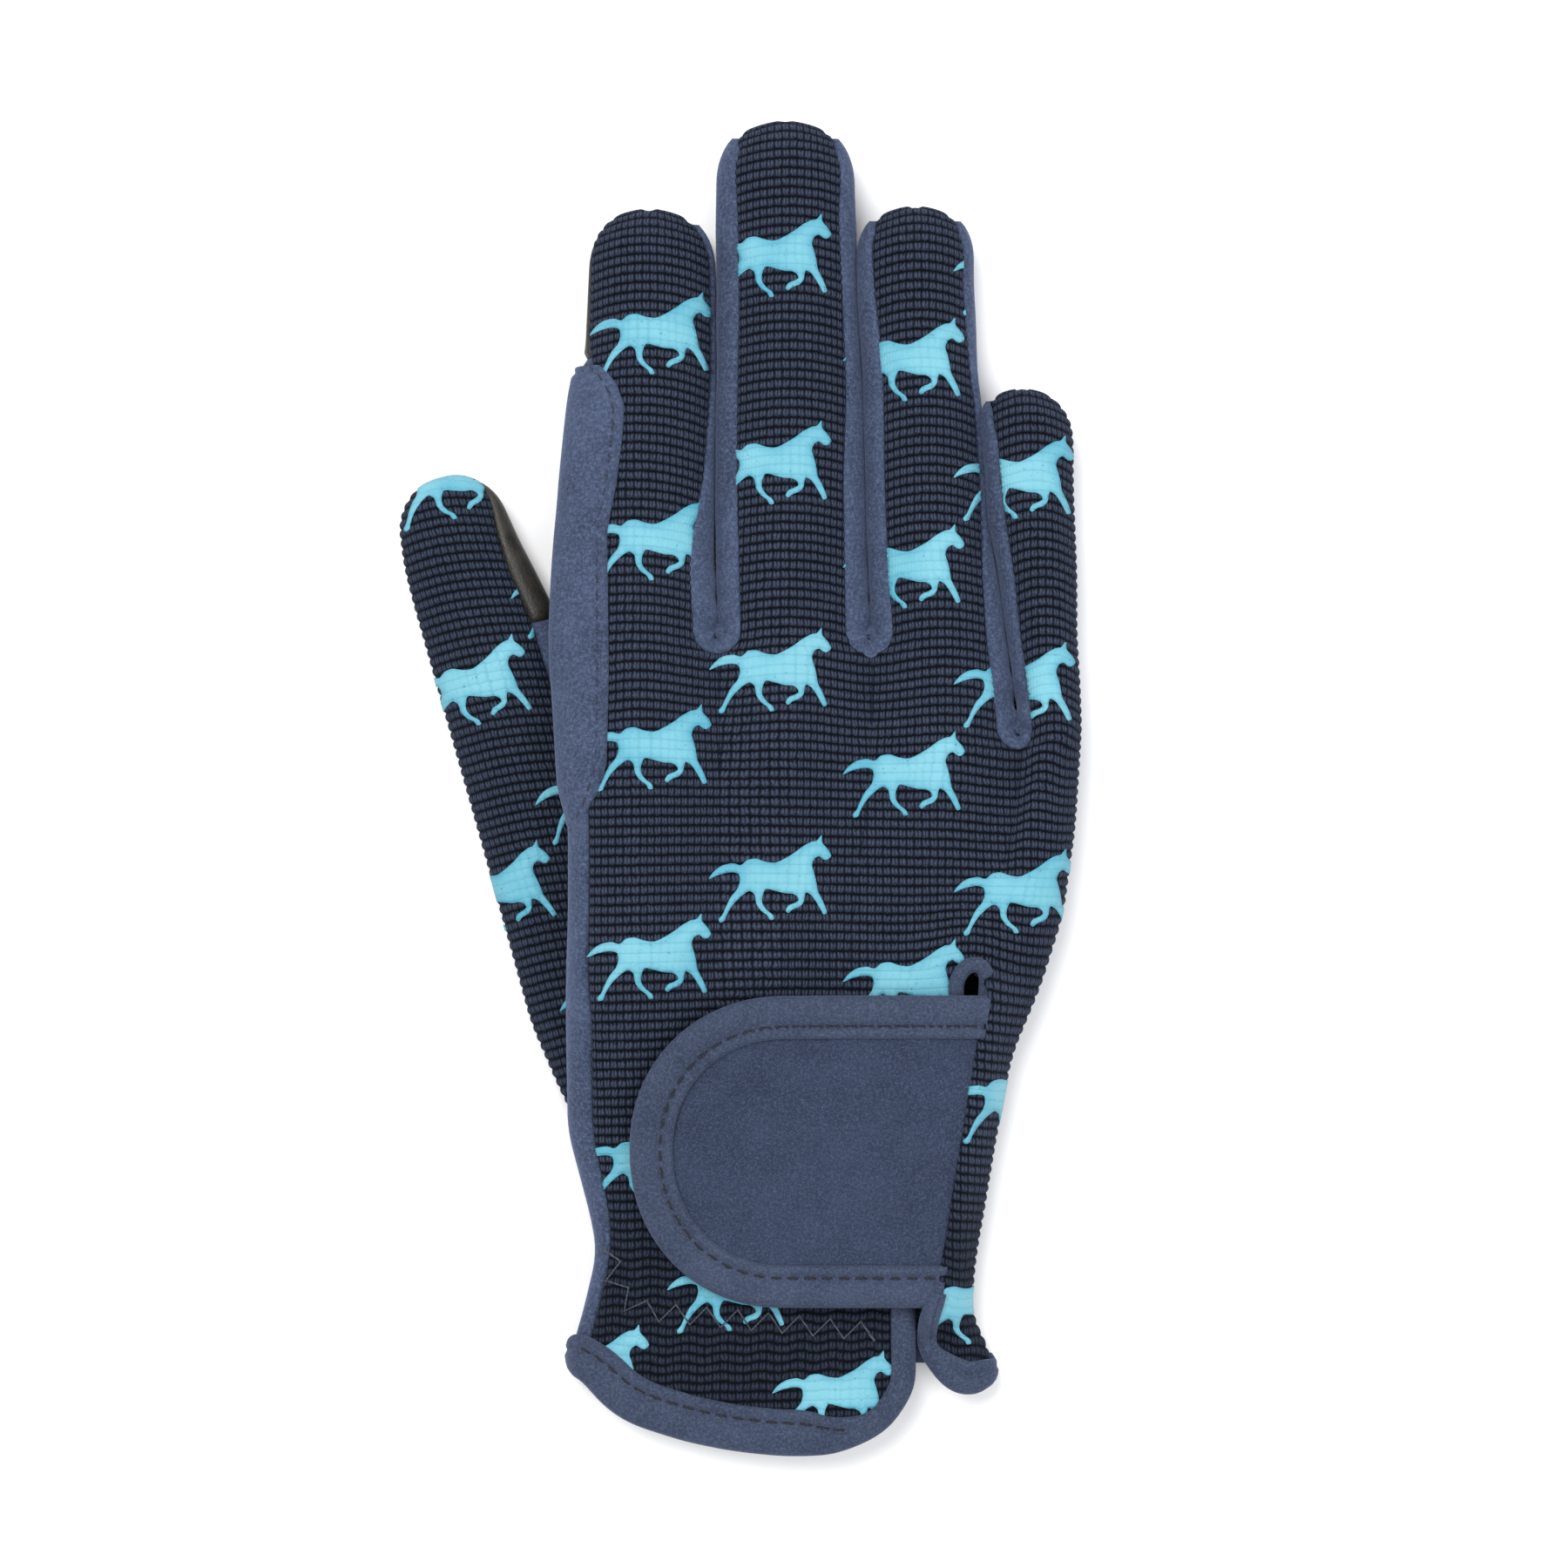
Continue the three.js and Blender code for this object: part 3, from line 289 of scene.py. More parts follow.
slit_centre = SLIT_TOP[1] * GLOVE_LENGTH - SLIT_RADIUS


def crotch_centre(i):
    return CROTCHES[i][1] * GLOVE_LENGTH + CROTCH_RADIUS


def finger_section(i, y):
    tip = FINGERS[i][0] * GLOVE_LENGTH
    row = read_fingers[i](y / GLOVE_LENGTH)
    left = row[1] * HAND_WIDTH + (FINGER_CRACK / 2 if i > 0 else 0)
    right = row[2] * HAND_WIDTH - (FINGER_CRACK / 2 if i < 3 else 0)
    half = (right - left) / 2
    scale = dome_scale(y, tip, half)
    u = (y - tip) / half + 1
    wide = half * max(scale, LAST_SCALE)
    return {
        "x": (left + right) / 2, "left": wide, "right": wide,
        "height": body_height(y / GLOVE_LENGTH) / 2, "scale": scale,
        "seam_left": tip_seam(row[3], u), "seam_right": tip_seam(row[4], u),
        "flat_left": 0.0, "flat_right": 0.0,
    }


def hand_section(i, y, slit=False):
    if y >= crotch_centre(2 if i == 3 else 0) - 1e-6:
        return finger_section(i, y)
    row = read_hand(y / GLOVE_LENGTH)
    finger = finger_section(i, y)
    edge = [row[1 + i] * HAND_WIDTH, row[2 + i] * HAND_WIDTH]
    wide_strip = 7 * float(smooth((y - 26) / 12) * (1 - smooth((y - 62) / 14)))
    seam = [OUTER_SEAM + wide_strip if i == 0 else SEAM_ANGLE,
            LOW_SEAM if i == 3 else SEAM_ANGLE]
    flat = [0.0, 0.0]
    left, right = edge
    for side in (0, 1):
        k = i - 1 + side
        if k < 0 or k > 2:
            continue
        turn = 1 if side else -1
        centre = crotch_centre(k)
        end = centre - CROTCH_RADIUS
        if y >= centre - 1e-6:
            seam[side] = finger["seam_right" if side else "seam_left"]
            edge[side] = finger["x"] + turn * finger["right"] * float(across(seam[side]))
        elif y > end:
            s = finger_section(i, centre)
            foot = CROTCHES[k][0] * HAND_WIDTH
            there = s["x"] + turn * s["right"] * float(across(SEAM_ANGLE))
            u = (centre - y) / CROTCH_RADIUS
            edge[side] = foot + (there - foot) * math.sqrt(max(1 - u * u, 0))
        flat[side] = float(smooth((end - y) / CROTCH_FADE))
    if slit and y < SLIT_TOP[1] * GLOVE_LENGTH and i > 1:
        u = clamp((y - slit_centre) / SLIT_RADIUS, 0, 1)
        gap = SLIT_RADIUS * math.sqrt(1 - u * u)
        flap = read_slit(y / GLOVE_LENGTH)
        foot = SLIT_TOP[0] * HAND_WIDTH
        if i == 2:
            edge[1] = foot - gap if u > 0 else min(flap[1] * HAND_WIDTH, foot - gap)
        if i == 3:
            edge[0] = foot + gap if u > 0 else min(flap[2] * HAND_WIDTH, foot + gap)
    crest = lerp(edge[0], right, row[6]) if i == 3 else (left + right) / 2
    return {
        "x": crest,
        "left": (crest - edge[0]) / (1 if i == 0 else float(across(seam[0]))),
        "right": (edge[1] - crest) / (1 if i == 3 else float(across(seam[1]))),
        "height": body_height(y / GLOVE_LENGTH) / 2, "scale": 1.0,
        "seam_left": seam[0], "seam_right": seam[1],
        "flat_left": flat[0], "flat_right": flat[1],
    }


def section_places(s, sides, angles):
    """Places across and up for arrays of sides and angles, before the hand's lift."""
    half = np.where(sides < 0, s["left"], s["right"])
    flat = np.where(sides < 0, s["flat_left"], s["flat_right"])
    centre = s["height"] - FLOOR_SINK
    rise = (upward(angles) * (1 - flat) + flat) * s["height"] * s["scale"]
    z = np.where(angles >= 0, centre + rise, np.maximum(centre - rise, 0))
    return s["x"] + sides * half * across(angles), z


def section_points(s, sides, angles, y):
    x, z = section_places(s, sides, angles)
    return np.stack([x, np.full_like(x, y), z + lift_at(x, y)], 1)


# How the cloth sags and puckers

FLAP_SIDE = 52.0  # the narrow flap lies right of this


def rumple(x, y):
    """Low, smooth unevenness of the back."""
    a = np.sin(x / 8.3 + y / 21.0) * np.sin(y / 13.0 - x / 27.0)
    b = np.sin(x / 4.9 + 1.3) * np.sin(y / 7.1 + x / 12.0)
    c = np.sin((x + 0.55 * y) / 6.3 + 0.7)
    return 0.3 * a + 0.14 * b + 0.12 * c


def gathers(x, y):
    """Small upright folds where elastic draws in the wrist, from 0 to 1."""
    near = smooth((40 - y) / 14) * smooth((y - 7) / 7)
    return near * np.sin(2 * np.pi * x / 5.4 + 1.1 * np.sin(y / 5.0) + 0.8 * np.sin(x / 7.0))


def strap_end(y):
    return STRAP_END * HAND_WIDTH + (y - STRAP_MIDDLE * GLOVE_LENGTH) * STRAP_SLANT


def flap_rise(x, y):
    """The narrow flap climbs over the strap's sewn end."""
    inside = smooth((STRAP_WIDTH / 2 + 4.6 - np.abs(y - STRAP_MIDDLE * GLOVE_LENGTH)) / 3.6)
    return 3.9 * inside * (1 - smooth((x - strap_end(y)) / 6.5)) * (x > strap_end(y) - 2)


def facing_up(normal_z):
    """1 where cloth faces up, falling to 0 at its sides."""
    return smooth((normal_z - 0.1) / 0.5)


def cloth_rise(x, y, normal_z):
    """How far the back's cloth stands off its plain section."""
    return rumple(x, y) * facing_up(normal_z) + flap_rise(x, y) * (x > FLAP_SIDE)


def rib_phase(i, s, x, y):
    """Rib number at a place of the back: ribs arch over each finger and round the slit."""
    left = x < s["x"]
    t = np.clip(np.where(left, (s["x"] - x) / s["left"], (x - s["x"]) / s["right"]), 0, 1)
    roots = [CROTCHES[int(clamp(i - 1, 0, 2))][1], CROTCHES[min(i, 2)][1]]
    above = y - np.where(left, roots[0], roots[1]) * GLOVE_LENGTH
    droop = (1 - np.cos(np.pi * np.clip(t / 0.8, 0, 1))) / 2
    arch = lerp(1.3 * smooth((above + 26) / 26) * droop, 1.9 * t**2, smooth((above + 3) / 6))
    loop = 1.6 * np.exp(-(((x - 61) / 6) ** 2)) * np.exp(-(((y - 76) / 7) ** 2))
    flap = 0.16 * np.clip(x - strap_end(y), 0, 20) * (1 - smooth((y - 60) / 25))
    wave = 0.35 * np.sin(x / 13.0 + y / 31.0) + 0.2 * gathers(x + 1.2, y)
    return (y + arch - loop + flap + wave) / RIB_PITCH


# Meshes


def to_row(points):
    return (np.array(points, float).reshape(-1, 3) - np.array([*ORIGIN, 0.0])) * MM


def unit(v):
    return v / np.linalg.norm(v, axis=-1, keepdims=True)


def link(name, data):
    obj = bpy.data.objects.new(name, data)
    bpy.context.scene.collection.objects.link(obj)
    return obj


def soften(me):
    me.polygons.foreach_set("use_smooth", [True] * len(me.polygons))


def mesh_object(name, points, faces, material=None):
    me = bpy.data.meshes.new(name)
    me.from_pydata(to_row(points).tolist(), [], [list(map(int, f)) for f in faces])
    if material:
        me.materials.append(material)
    me.validate()
    soften(me)
    me.update()
    return link(name, me)


def point_attribute(obj, name, values):
    layer = obj.data.attributes.new(name, "FLOAT", "POINT")
    layer.data.foreach_set("value", np.asarray(values, np.float32))


def cloth_map(obj, u, v):
    """Writes the cloth's own coordinates as a UV map."""
    corners = np.zeros(len(obj.data.loops), int)
    obj.data.loops.foreach_get("vertex_index", corners)
    layer = obj.data.uv_layers.new(name="cloth")
    uv = np.stack([np.asarray(u)[corners], np.asarray(v)[corners]], 1).astype(np.float32)
    layer.data.foreach_set("uv", uv.ravel())


def vertex_normals(points, quads):
    a, b, c, d = (points[quads[:, k]] for k in range(4))
    n = np.cross(c - a, d - b)
    out = np.zeros_like(points)
    for k in range(4):
        np.add.at(out, quads[:, k], n)
    length = np.linalg.norm(out, axis=1, keepdims=True)
    return out / np.maximum(length, 1e-9)


def weld(patches):
    """Joins patches of points by place. Returns points, extra values and id grids."""
    every = np.concatenate([p["at"].reshape(-1, 3) for p in patches])
    keys = np.round(every * 150).astype(np.int64)
    _, first, back = np.unique(keys, axis=0, return_index=True, return_inverse=True)
    back = back.reshape(-1)
    extra = {}
    for name in patches[0]:
        if name != "at":
            extra[name] = np.concatenate([p[name].reshape(-1) for p in patches])[first]
    grids = []
    start = 0
    for p in patches:
        rows, columns = p["at"].shape[:2]
        grids.append(back[start:start + rows * columns].reshape(rows, columns))
        start += rows * columns
    return every[first], extra, grids


def roll_edges(points, normals, rim, radius, depth):
    """Turns the cloth down along its cut edges, as a sewn seam does."""
    tree = KDTree(len(rim))
    for k in rim:
        tree.insert(points[k], int(k))
    tree.balance()
    away = np.full(len(points), radius * 2.0)
    low, high = points[rim].min(0) - radius, points[rim].max(0) + radius
    near = np.where(np.all((points > low) & (points < high), axis=1))[0]
    for k in near:
        away[k] = tree.find(points[k])[2]
    t = np.clip(1 - away / radius, 0, 1)
    return points - normals * (depth * (1 - np.sqrt(1 - t * t)))[:, None], away


def panel(name, patches, wall, turned=False, fine=(1, 1), roll=(1.0, 0.6), shape=None):
    """A closed panel: a fine outer face, a coarser inner face and a rim. shape may move
    the outer points before the edges are rolled."""
    points, extra, grids = weld(patches)
    quads = []
    for g in grids:
        a, b, c, d = g[:-1, :-1], g[:-1, 1:], g[1:, 1:], g[1:, :-1]
        quads.append(np.stack([a, d, c, b] if turned else [a, b, c, d], -1).reshape(-1, 4))
    quads = np.concatenate(quads)
    normals = vertex_normals(points, quads)
    if shape:
        points = shape(points, normals, extra)
        normals = vertex_normals(points, quads)
    size = len(points)
    edge = np.concatenate([
        quads[:, [0, 1]], quads[:, [1, 2]], quads[:, [2, 3]], quads[:, [3, 0]],
    ])
    edge = edge[edge[:, 0] != edge[:, 1]]
    forward = edge[:, 0] * size + edge[:, 1]
    open_edge = ~np.isin(forward, edge[:, 1] * size + edge[:, 0])
    borders = set(forward[open_edge].tolist())
    rim = np.unique(edge[open_edge])
    inner_at = points - normals * wall
    outer, away = roll_edges(points, normals, rim, *roll)
    faces = [[k for n, k in enumerate(q) if k != q[n - 1]] for q in quads.tolist()]
    faces = [f for f in faces if len(f) > 2]
    inner_of = {}
    inner = []

    def inside(k):
        if k not in inner_of:
            inner_of[k] = size + len(inner)
            inner.append(inner_at[k])
        return inner_of[k]

    def add(face):
        clean = [k for n, k in enumerate(face) if k != face[n - 1]]
        if len(set(clean)) == len(clean) and len(clean) > 2:
            faces.append(clean[::-1] if turned else clean)

    def is_border(p, q):
        return p * size + q in borders or q * size + p in borders

    step_r, step_c = fine
    for g in grids:
        rows, columns = g.shape
        for r in range(0, rows - 1, step_r):
            for c in range(0, columns - 1, step_c):
                add([
                    inside(g[r, c]), inside(g[r + step_r, c]),
                    inside(g[r + step_r, c + step_c]), inside(g[r, c + step_c]),
                ])
            for c, up in ((0, True), (columns - 1, False)):
                run = g[r:r + step_r + 1, c].tolist()
                if is_border(run[0], run[1]):
                    run = run if up else run[::-1]
                    add(run + [inside(run[-1]), inside(run[0])])
        for c in range(0, columns - 1, step_c):
            for r, right in ((0, False), (rows - 1, True)):
                run = g[r, c:c + step_c + 1].tolist()
                if is_border(run[0], run[1]):
                    run = run if right else run[::-1]
                    add(run + [inside(run[-1]), inside(run[0])])
    obj = mesh_object(name, np.concatenate([outer, np.array(inner)]), faces)
    source = np.concatenate([np.arange(size), np.array(list(inner_of), int)])
    values = {k: v[source] for k, v in extra.items()}
    calm = np.where(np.arange(len(source)) < size, 1.0, 0.0)
    calm[:size] = smooth(away / (roll[0] * 0.8)) * 0.75 + 0.25
    values["calm"] = calm
    return obj, values, outer[:size], quads


def half_angles(pole, seam, n):
    """Angles from a crest to a seam, closer together at the seam."""
    u = np.arange(n + 1) / n
    return pole + (seam - pole) * (1 - (1 - u) ** 1.25)


def spread_angles(pole, left, right, n):
    """Sides and angles across one column, from its left seam over a pole to its right."""
    angles = [half_angles(pole, left, n)[::-1], half_angles(pole, right, n)[1:]]
    return np.repeat([-1.0, 1.0], [n, n + 1]), np.concatenate(angles)


def top_angles(s, n):
    return spread_angles(90.0, s["seam_left"], s["seam_right"], n)


def under_angles(s, n, i):
    return spread_angles(-90.0, s["seam_left"] * (1 if i == 0 else -1),
                         s["seam_right"] * (1 if i == 3 else -1), n)


def steps_between(a, b, step, multiple):
    n = max(int(round(abs(b - a) / step / multiple)), 1) * multiple
    return np.linspace(a, b, n + 1)


def block_rows(a, b, step, multiple):
    """Rows of a block of the hand, closer together where a crotch or the slit turns."""
    rows = steps_between(a, b, step, multiple)
    t = (rows - a) / (b - a) * math.pi / 2
    if abs(b - a - CROTCH_RADIUS) < 1e-6:
        return a + (b - a) * (1 - np.cos(t))
    if abs(b - a - SLIT_RADIUS) < 1e-6:
        return a + (b - a) * np.sin(t)
    return rows


def tip_rows(start, tip, step, multiple):
    """Rows of a round tip, closer together at its end."""
    body = steps_between(start, tip - 2.4, step, multiple)
    n = 3 * multiple
    end = tip - 2.4 * (1 - np.arange(1, n + 1) / n) ** 2.0
    return np.concatenate([body, end])


def hand_blocks(i, marks, step, multiple):
    """Rows of each block from the hem to the tip, for one finger's share of the hand."""
    stops = list(marks)
    for k in (2, 0) if i < 3 else (2,):
        stops += [crotch_centre(k) - CROTCH_RADIUS, crotch_centre(k)]
    blocks = [block_rows(a, b, step, multiple) for a, b in zip(stops, stops[1:])]
    return blocks + [tip_rows(stops[-1], FINGERS[i][0] * GLOVE_LENGTH, step, multiple)]


def back_row(i, y, n):
    s = hand_section(i, y, True)
    return s, section_points(s, *top_angles(s, n), y)


def with_cloth(i, rows, n):
    """Adds the knit's own coordinates to rows of (section, points)."""
    at = np.array([p for _, p in rows])
    rib = np.array([rib_phase(i, s, p[:, 0], p[:, 1]) for s, p in rows])
    drop = np.array([p[n, 2] - p[:, 2] for _, p in rows])
    side = np.sign(at[..., 0] - at[:, n:n + 1, 0])
    wale = (at[..., 0] + side * drop * 0.8) / WALE_PITCH
    return {"at": at, "rib": rib, "wale": wale}


def hem_heights(i, n):
    """Where each column of the back ends at the cuff's cut edge."""
    first, last, hem = (0, 2, read_broad) if i < 3 else (3, 3, read_narrow)
    low = HEM_TOP * GLOVE_LENGTH
    start, end = back_row(first, low, n)[1][0, 0], back_row(last, low, n)[1][-1, 0]
    return [hem(clamp((x - start) / (end - start), 0, 1))[1] * GLOVE_LENGTH
            for x in back_row(i, low, n)[1][:, 0]]


def back_patches(step, multiple, n):
    patches = []
    low = HEM_TOP * GLOVE_LENGTH
    for i in range(4):
        heights = hem_heights(i, n)
        rows = []
        for share in steps_between(0, 1, step / (low * 0.9), multiple):
            cells = [back_row(i, lerp(y, low, share), n) for y in heights]
            rows.append((cells[n][0], np.array([c[1][j] for j, c in enumerate(cells)])))
        patches.append(with_cloth(i, rows, n))
        marks = (low, slit_centre, SLIT_TOP[1] * GLOVE_LENGTH)
        for ys in hand_blocks(i, marks, step, multiple):
            patches.append(with_cloth(i, [back_row(i, y, n) for y in ys], n))
    return patches


def back_shape(points, normals, extra):
    x, y, up = points[:, 0], points[:, 1], normals[:, 2]
    out = points.copy()
    out[:, 2] += cloth_rise(x, y, up) + 0.28 * gathers(x, y) * facing_up(up)
    return out


def palm_patch(i, ys, n):
    sections = [hand_section(i, y) for y in ys]
    return {"at": np.array([
        section_points(s, *under_angles(s, n, i), y) for s, y in zip(sections, ys)
    ])}


def palm_patches(step, n):
    patches = []
    for i in range(4):
        marks = (PALM_HEM * GLOVE_LENGTH, SLIT_TOP[1] * GLOVE_LENGTH)
        blocks = hand_blocks(i, marks, step, 1)
        if i == 0:
            end = INDEX_TOUCH_START * GLOVE_LENGTH
            blocks[-1] = steps_between(crotch_centre(0), end, step, 1)
        patches += [palm_patch(i, ys, n) for ys in blocks]
    return patches


SIDE_COLUMNS = 22
ARC_ROWS = 30


def fourchette_patches(k, step):
    """Side walls of two neighbouring fingers, in one strip round the crotch. The value
    bend tells how far a point is round the corner, from 0 to 1."""
    v = np.linspace(0, 1, SIDE_COLUMNS + 1)
    centre = crotch_centre(k)

    def strip(i, y):
        s = hand_section(i, y)
        right = i == k
        seam = s["seam_right"] if right else s["seam_left"]
        over = 7.0 * min(1.0, seam / 20)
        angles = lerp(seam + over, -seam - over, v)
        return section_points(s, np.full_like(v, 1.0 if right else -1.0), angles, y)

    def leg(i):
        row = read_fingers[i](FINGERS[i][0])
        end = FINGERS[i][0] * GLOVE_LENGTH - (row[2] - row[1]) * HAND_WIDTH * 0.11
        return [strip(i, y) for y in steps_between(centre, end, step, 1)]

    left, right = leg(k)[::-1], leg(k + 1)
    foot = CROTCHES[k][0] * HAND_WIDTH
    s = hand_section(k, centre)
    radius_x = foot - s["x"] - s["right"] * float(across(SEAM_ANGLE))
    turns = [a / ARC_ROWS for a in range(1, ARC_ROWS)]
    arc = []
    for t in turns:
        p, q = left[-1], right[0]
        away = lerp(foot - p[:, 0], q[:, 0] - foot, t)
        x = foot - away * math.cos(math.pi * t)
        y = centre - away * (CROTCH_RADIUS / radius_x) * math.sin(math.pi * t)
        arc.append(np.stack([x, y, lerp(p[:, 2], q[:, 2], t)], 1))
    at = np.array(left + arc + right)
    bend = np.concatenate([np.zeros(len(left)), turns, np.ones(len(right))])
    return [{
        "at": at,
        "side": np.tile(v, (len(at), 1)),
        "bend": np.tile(bend[:, None], (1, len(v))),
        "along": at[..., 1].copy(),
    }]


def fourchette_shape(points, normals, extra):
    """Plump upper roll, and a few folds where the strip turns the corner."""
    v, bend, along = extra["side"], extra["bend"], extra["along"]
    roll = np.sin(np.pi * np.clip(v / 0.78, 0, 1)) ** 0.9
    near = np.exp(-((along - along[bend > 0].min() - 3) / 7.0) ** 2)
    folds = np.sin(bend * np.pi * 3.4 + 3.4 * v - 0.5) * 0.8 * np.sin(np.pi * bend)
    creases = 0.36 * near * np.sin(along * 1.2 + 5 * v)
    ripple = 0.1 * np.sin(along / 3.1 + 5 * v) * np.sin(along / 7.7)
    upper = np.sin(np.pi * np.clip(v * 1.3, 0, 1))
    return points + normals * (0.63 * roll + (folds + creases + ripple) * upper)[:, None]


# Thumb

thumb_dome = (read_thumb(1.0)[2] - read_thumb(1.0)[1]) * THUMB_WIDTH / 2


def thumb_section(share):
    row = read_thumb(share)
    u = (share - 1) * THUMB_LENGTH / thumb_dome + 1
    scale = dome_scale(share * THUMB_LENGTH, THUMB_LENGTH, thumb_dome)
    half = (row[2] - row[1]) / 2 * THUMB_WIDTH * max(scale, LAST_SCALE)
    return {
        "x": (row[1] + row[2]) / 2 * THUMB_WIDTH, "left": half, "right": half,
        "height": THUMB_HEIGHT / 2 * row[5], "scale": scale,
        "seam_left": tip_seam(row[3], u), "seam_right": tip_seam(row[4], u),
        "flat_left": 0.0, "flat_right": 0.0,
    }


def thumb_place(x, along, z):
    angle = math.radians(THUMB_ANGLE)
    back = along - THUMB_LENGTH
    px = THUMB_TIP[0] * HAND_WIDTH + x * math.cos(angle) - back * math.sin(angle)
    py = THUMB_TIP[1] * GLOVE_LENGTH + x * math.sin(angle) + back * math.cos(angle)
    rise = THUMB_RISE * smooth(1 - along / (THUMB_LENGTH * 0.45))
    return np.stack([px, py, z + rise], -1)


def thumb_patch(start, end, step, multiple, n, top):
    rows = tip_rows if end >= 1 else steps_between
    at, rib, wale = [], [], []
    for along in rows(start * THUMB_LENGTH, end * THUMB_LENGTH, step, multiple):
        s = thumb_section(along / THUMB_LENGTH)
        pole = 90.0 if top else -90.0
        x, z = section_places(s, *spread_angles(pole, s["seam_left"], s["seam_right"], n))
        t = (x - s["x"]) / s["right"]
        sag = 0.25 * np.sin(along / 7.0 + x / 5.0) * np.sin(along / 4.3) if top else 0
        at.append(thumb_place(x, along, z + sag * smooth((z - s["height"]) / 2)))
        rib.append((along + 1.3 * (t + 0.15) ** 2 + 0.13 * x) / RIB_PITCH)
        wale.append((x + np.sign(x - s["x"]) * (z[n] - z) * 0.8) / WALE_PITCH)
    return {"at": np.array(at), "rib": np.array(rib), "wale": np.array(wale)}


# Strap, bindings and patch


def top_at(x, y):
    """Height of the back over a place of the hand."""
    best = 0.0
    for i in range(4):
        s = hand_section(i, y)
        left = x < s["x"]
        d = abs(x - s["x"]) / s["left" if left else "right"]
        if d > 1:
            continue
        angle = math.degrees(math.acos(d ** (SECTION_POWER / 2)))
        flat = s["flat_left" if left else "flat_right"]
        rise = lerp(float(upward(angle)), 1, flat) * s["height"]
        best = max(best, s["height"] - FLOOR_SINK + rise + float(lift_at(x, y)))
    return best


def strap_place(u, v, inset):
    half = STRAP_WIDTH / 2 - inset
    reach = STRAP_ROUND - inset
    y = STRAP_MIDDLE * GLOVE_LENGTH + v * half
    right = strap_end(y) + 0.7
    bow = 1 - (1 - abs(v) ** STRAP_POWER) ** (1 / STRAP_POWER)
    left = STRAP_END * HAND_WIDTH - STRAP_LENGTH + inset + reach * bow
    return lerp(right, left, u), y


def strap_height(x, y):
    """Top of the strap's cloth: it spans the hollows of the back below it."""
    return top_at(min(x, STRAP_END * HAND_WIDTH - 1), y) + STRAP_BASE + STRAP_WALL


STRAP_PATH = (
    [(u, 1.0) for u in np.linspace(0, 0.94, 40)]
    + [(1.0, v) for v in np.sin(np.radians(np.linspace(90, -90, 121)))]
    + [(u, -1.0) for u in np.linspace(0.94, 0, 40)]
)
# Columns: inset from the strap's outline, height above its face
STRAP_BAND = [
    (6.4, -2.2), (2.6, -2.3), (0.8, -2.2), (0.18, -1.75), (0.0, -1.1), (0.12, -0.45),
    (0.45, 0.05), (1.0, 0.42), (1.8, 0.64), (2.7, 0.66), (3.5, 0.5), (4.0, 0.26),
    (4.35, -0.04), (4.55, -0.1), (4.8, 0.04), (5.2, 0.38), (5.7, 0.52), (6.15, 0.38),
    (6.4, -0.1), (6.45, -0.9),
]
# Columns: share of the width, added inset, height above the cloth's face
CUFF_PROFILE = [
    (1, 0, -0.3), (1, 0.05, 0.45), (1, -0.15, 0.78), (1, -0.7, 0.95), (1, -1.3, 0.84),
    (1, -1.75, 0.5), (1, -1.95, 0.44), (1, -2.15, 0.54), (1, -2.6, 0.92), (0.35, 0, 1.12),
    (0.12, 0, 1.05), (0, -0.35, 0.82), (0, -1.0, 0.35), (0, -1.35, -0.3), (0, -1.3, -1.0),
    (0, -0.85, -1.7), (0, 0.0, -2.1), (0, 1.6, -2.1), (0, 1.6, -1.5), (0, 0.2, -1.3),
]
STRAP_STITCH = 4.5
HEM_STITCH = 1.95
STITCH_PITCH = 2.5
SEAM_LIFT = 0.5
LINE_STEP = 0.8


def path_lengths(points):
    d = np.linalg.norm(np.diff(np.array(points)[:, :3], axis=0), axis=1)
    return np.concatenate([[0], np.cumsum(d)])


def read_path(at, along, rows):
    """Rows read off at places along them."""
    return np.stack([np.interp(at, along, column) for column in np.transpose(rows)], -1)


def resample(points, step, passes=3):
    """Evenly spaced rows along a path of places, and of directions too, softened."""
    points = np.array(points, float)
    total = path_lengths(points)
    n = max(int(total[-1] / step), 2)
    out = read_path(np.linspace(0, total[-1], n + 1), total, points)
    for _ in range(passes):
        out[1:-1] = (out[:-2] + 2 * out[1:-1] + out[2:]) / 4
    return out


def directions(path):
    return unit(np.gradient(path, axis=0))


def tube(name, points, columns, material):
    """A closed piece from rings of points, one ring after another."""
    points = np.array(points, float)
    rows = len(points) // columns
    faces = [list(range(columns))[::-1], [(rows - 1) * columns + j for j in range(columns)]]
    for r in range(rows - 1):
        for j in range(columns):
            a, b = r * columns + j, r * columns + (j + 1) % columns
            faces.append([a, b, b + columns, a + columns])
    volume = sum(np.dot(points[f[0]], np.cross(points[f[k]], points[f[k + 1]]))
                 for f in faces for k in range(1, len(f) - 1))
    if volume < 0:
        faces = [f[::-1] for f in faces]
    return mesh_object(name, points, faces, material)


def pucker(distance, at, amount):
    """Cloth drawn in between the stitches of a seam; distance is from the seam."""
    return amount * np.exp(-((distance / 1.1) ** 2)) * np.cos(2 * np.pi * at / STITCH_PITCH)


def sweep(name, path, ups, widths, material):
    """A strip folded over an edge, with a stitched groove where it is wide."""
    points = []
    for p, t, up, w, s in zip(path, directions(path), ups, widths, path_lengths(path)):
        up = unit(up - t * np.dot(up, t))
        inward = np.cross(up, t)
        wide = float(smooth((w - 2.5) / 1.5))
        for share, inset, height in CUFF_PROFILE:
            if share == 1:
                inset = lerp(inset * 0.4, inset, wide)
                height = lerp(0.86 if inset < -0.2 else height, height, wide)
            if height > 0:
                height += float(pucker(share * w + inset - w + HEM_STITCH, s, 0.09 * wide))
            points.append(p + inward * (share * w + inset) + up * height)
    return tube(name, points, len(CUFF_PROFILE), material)


# Node trees


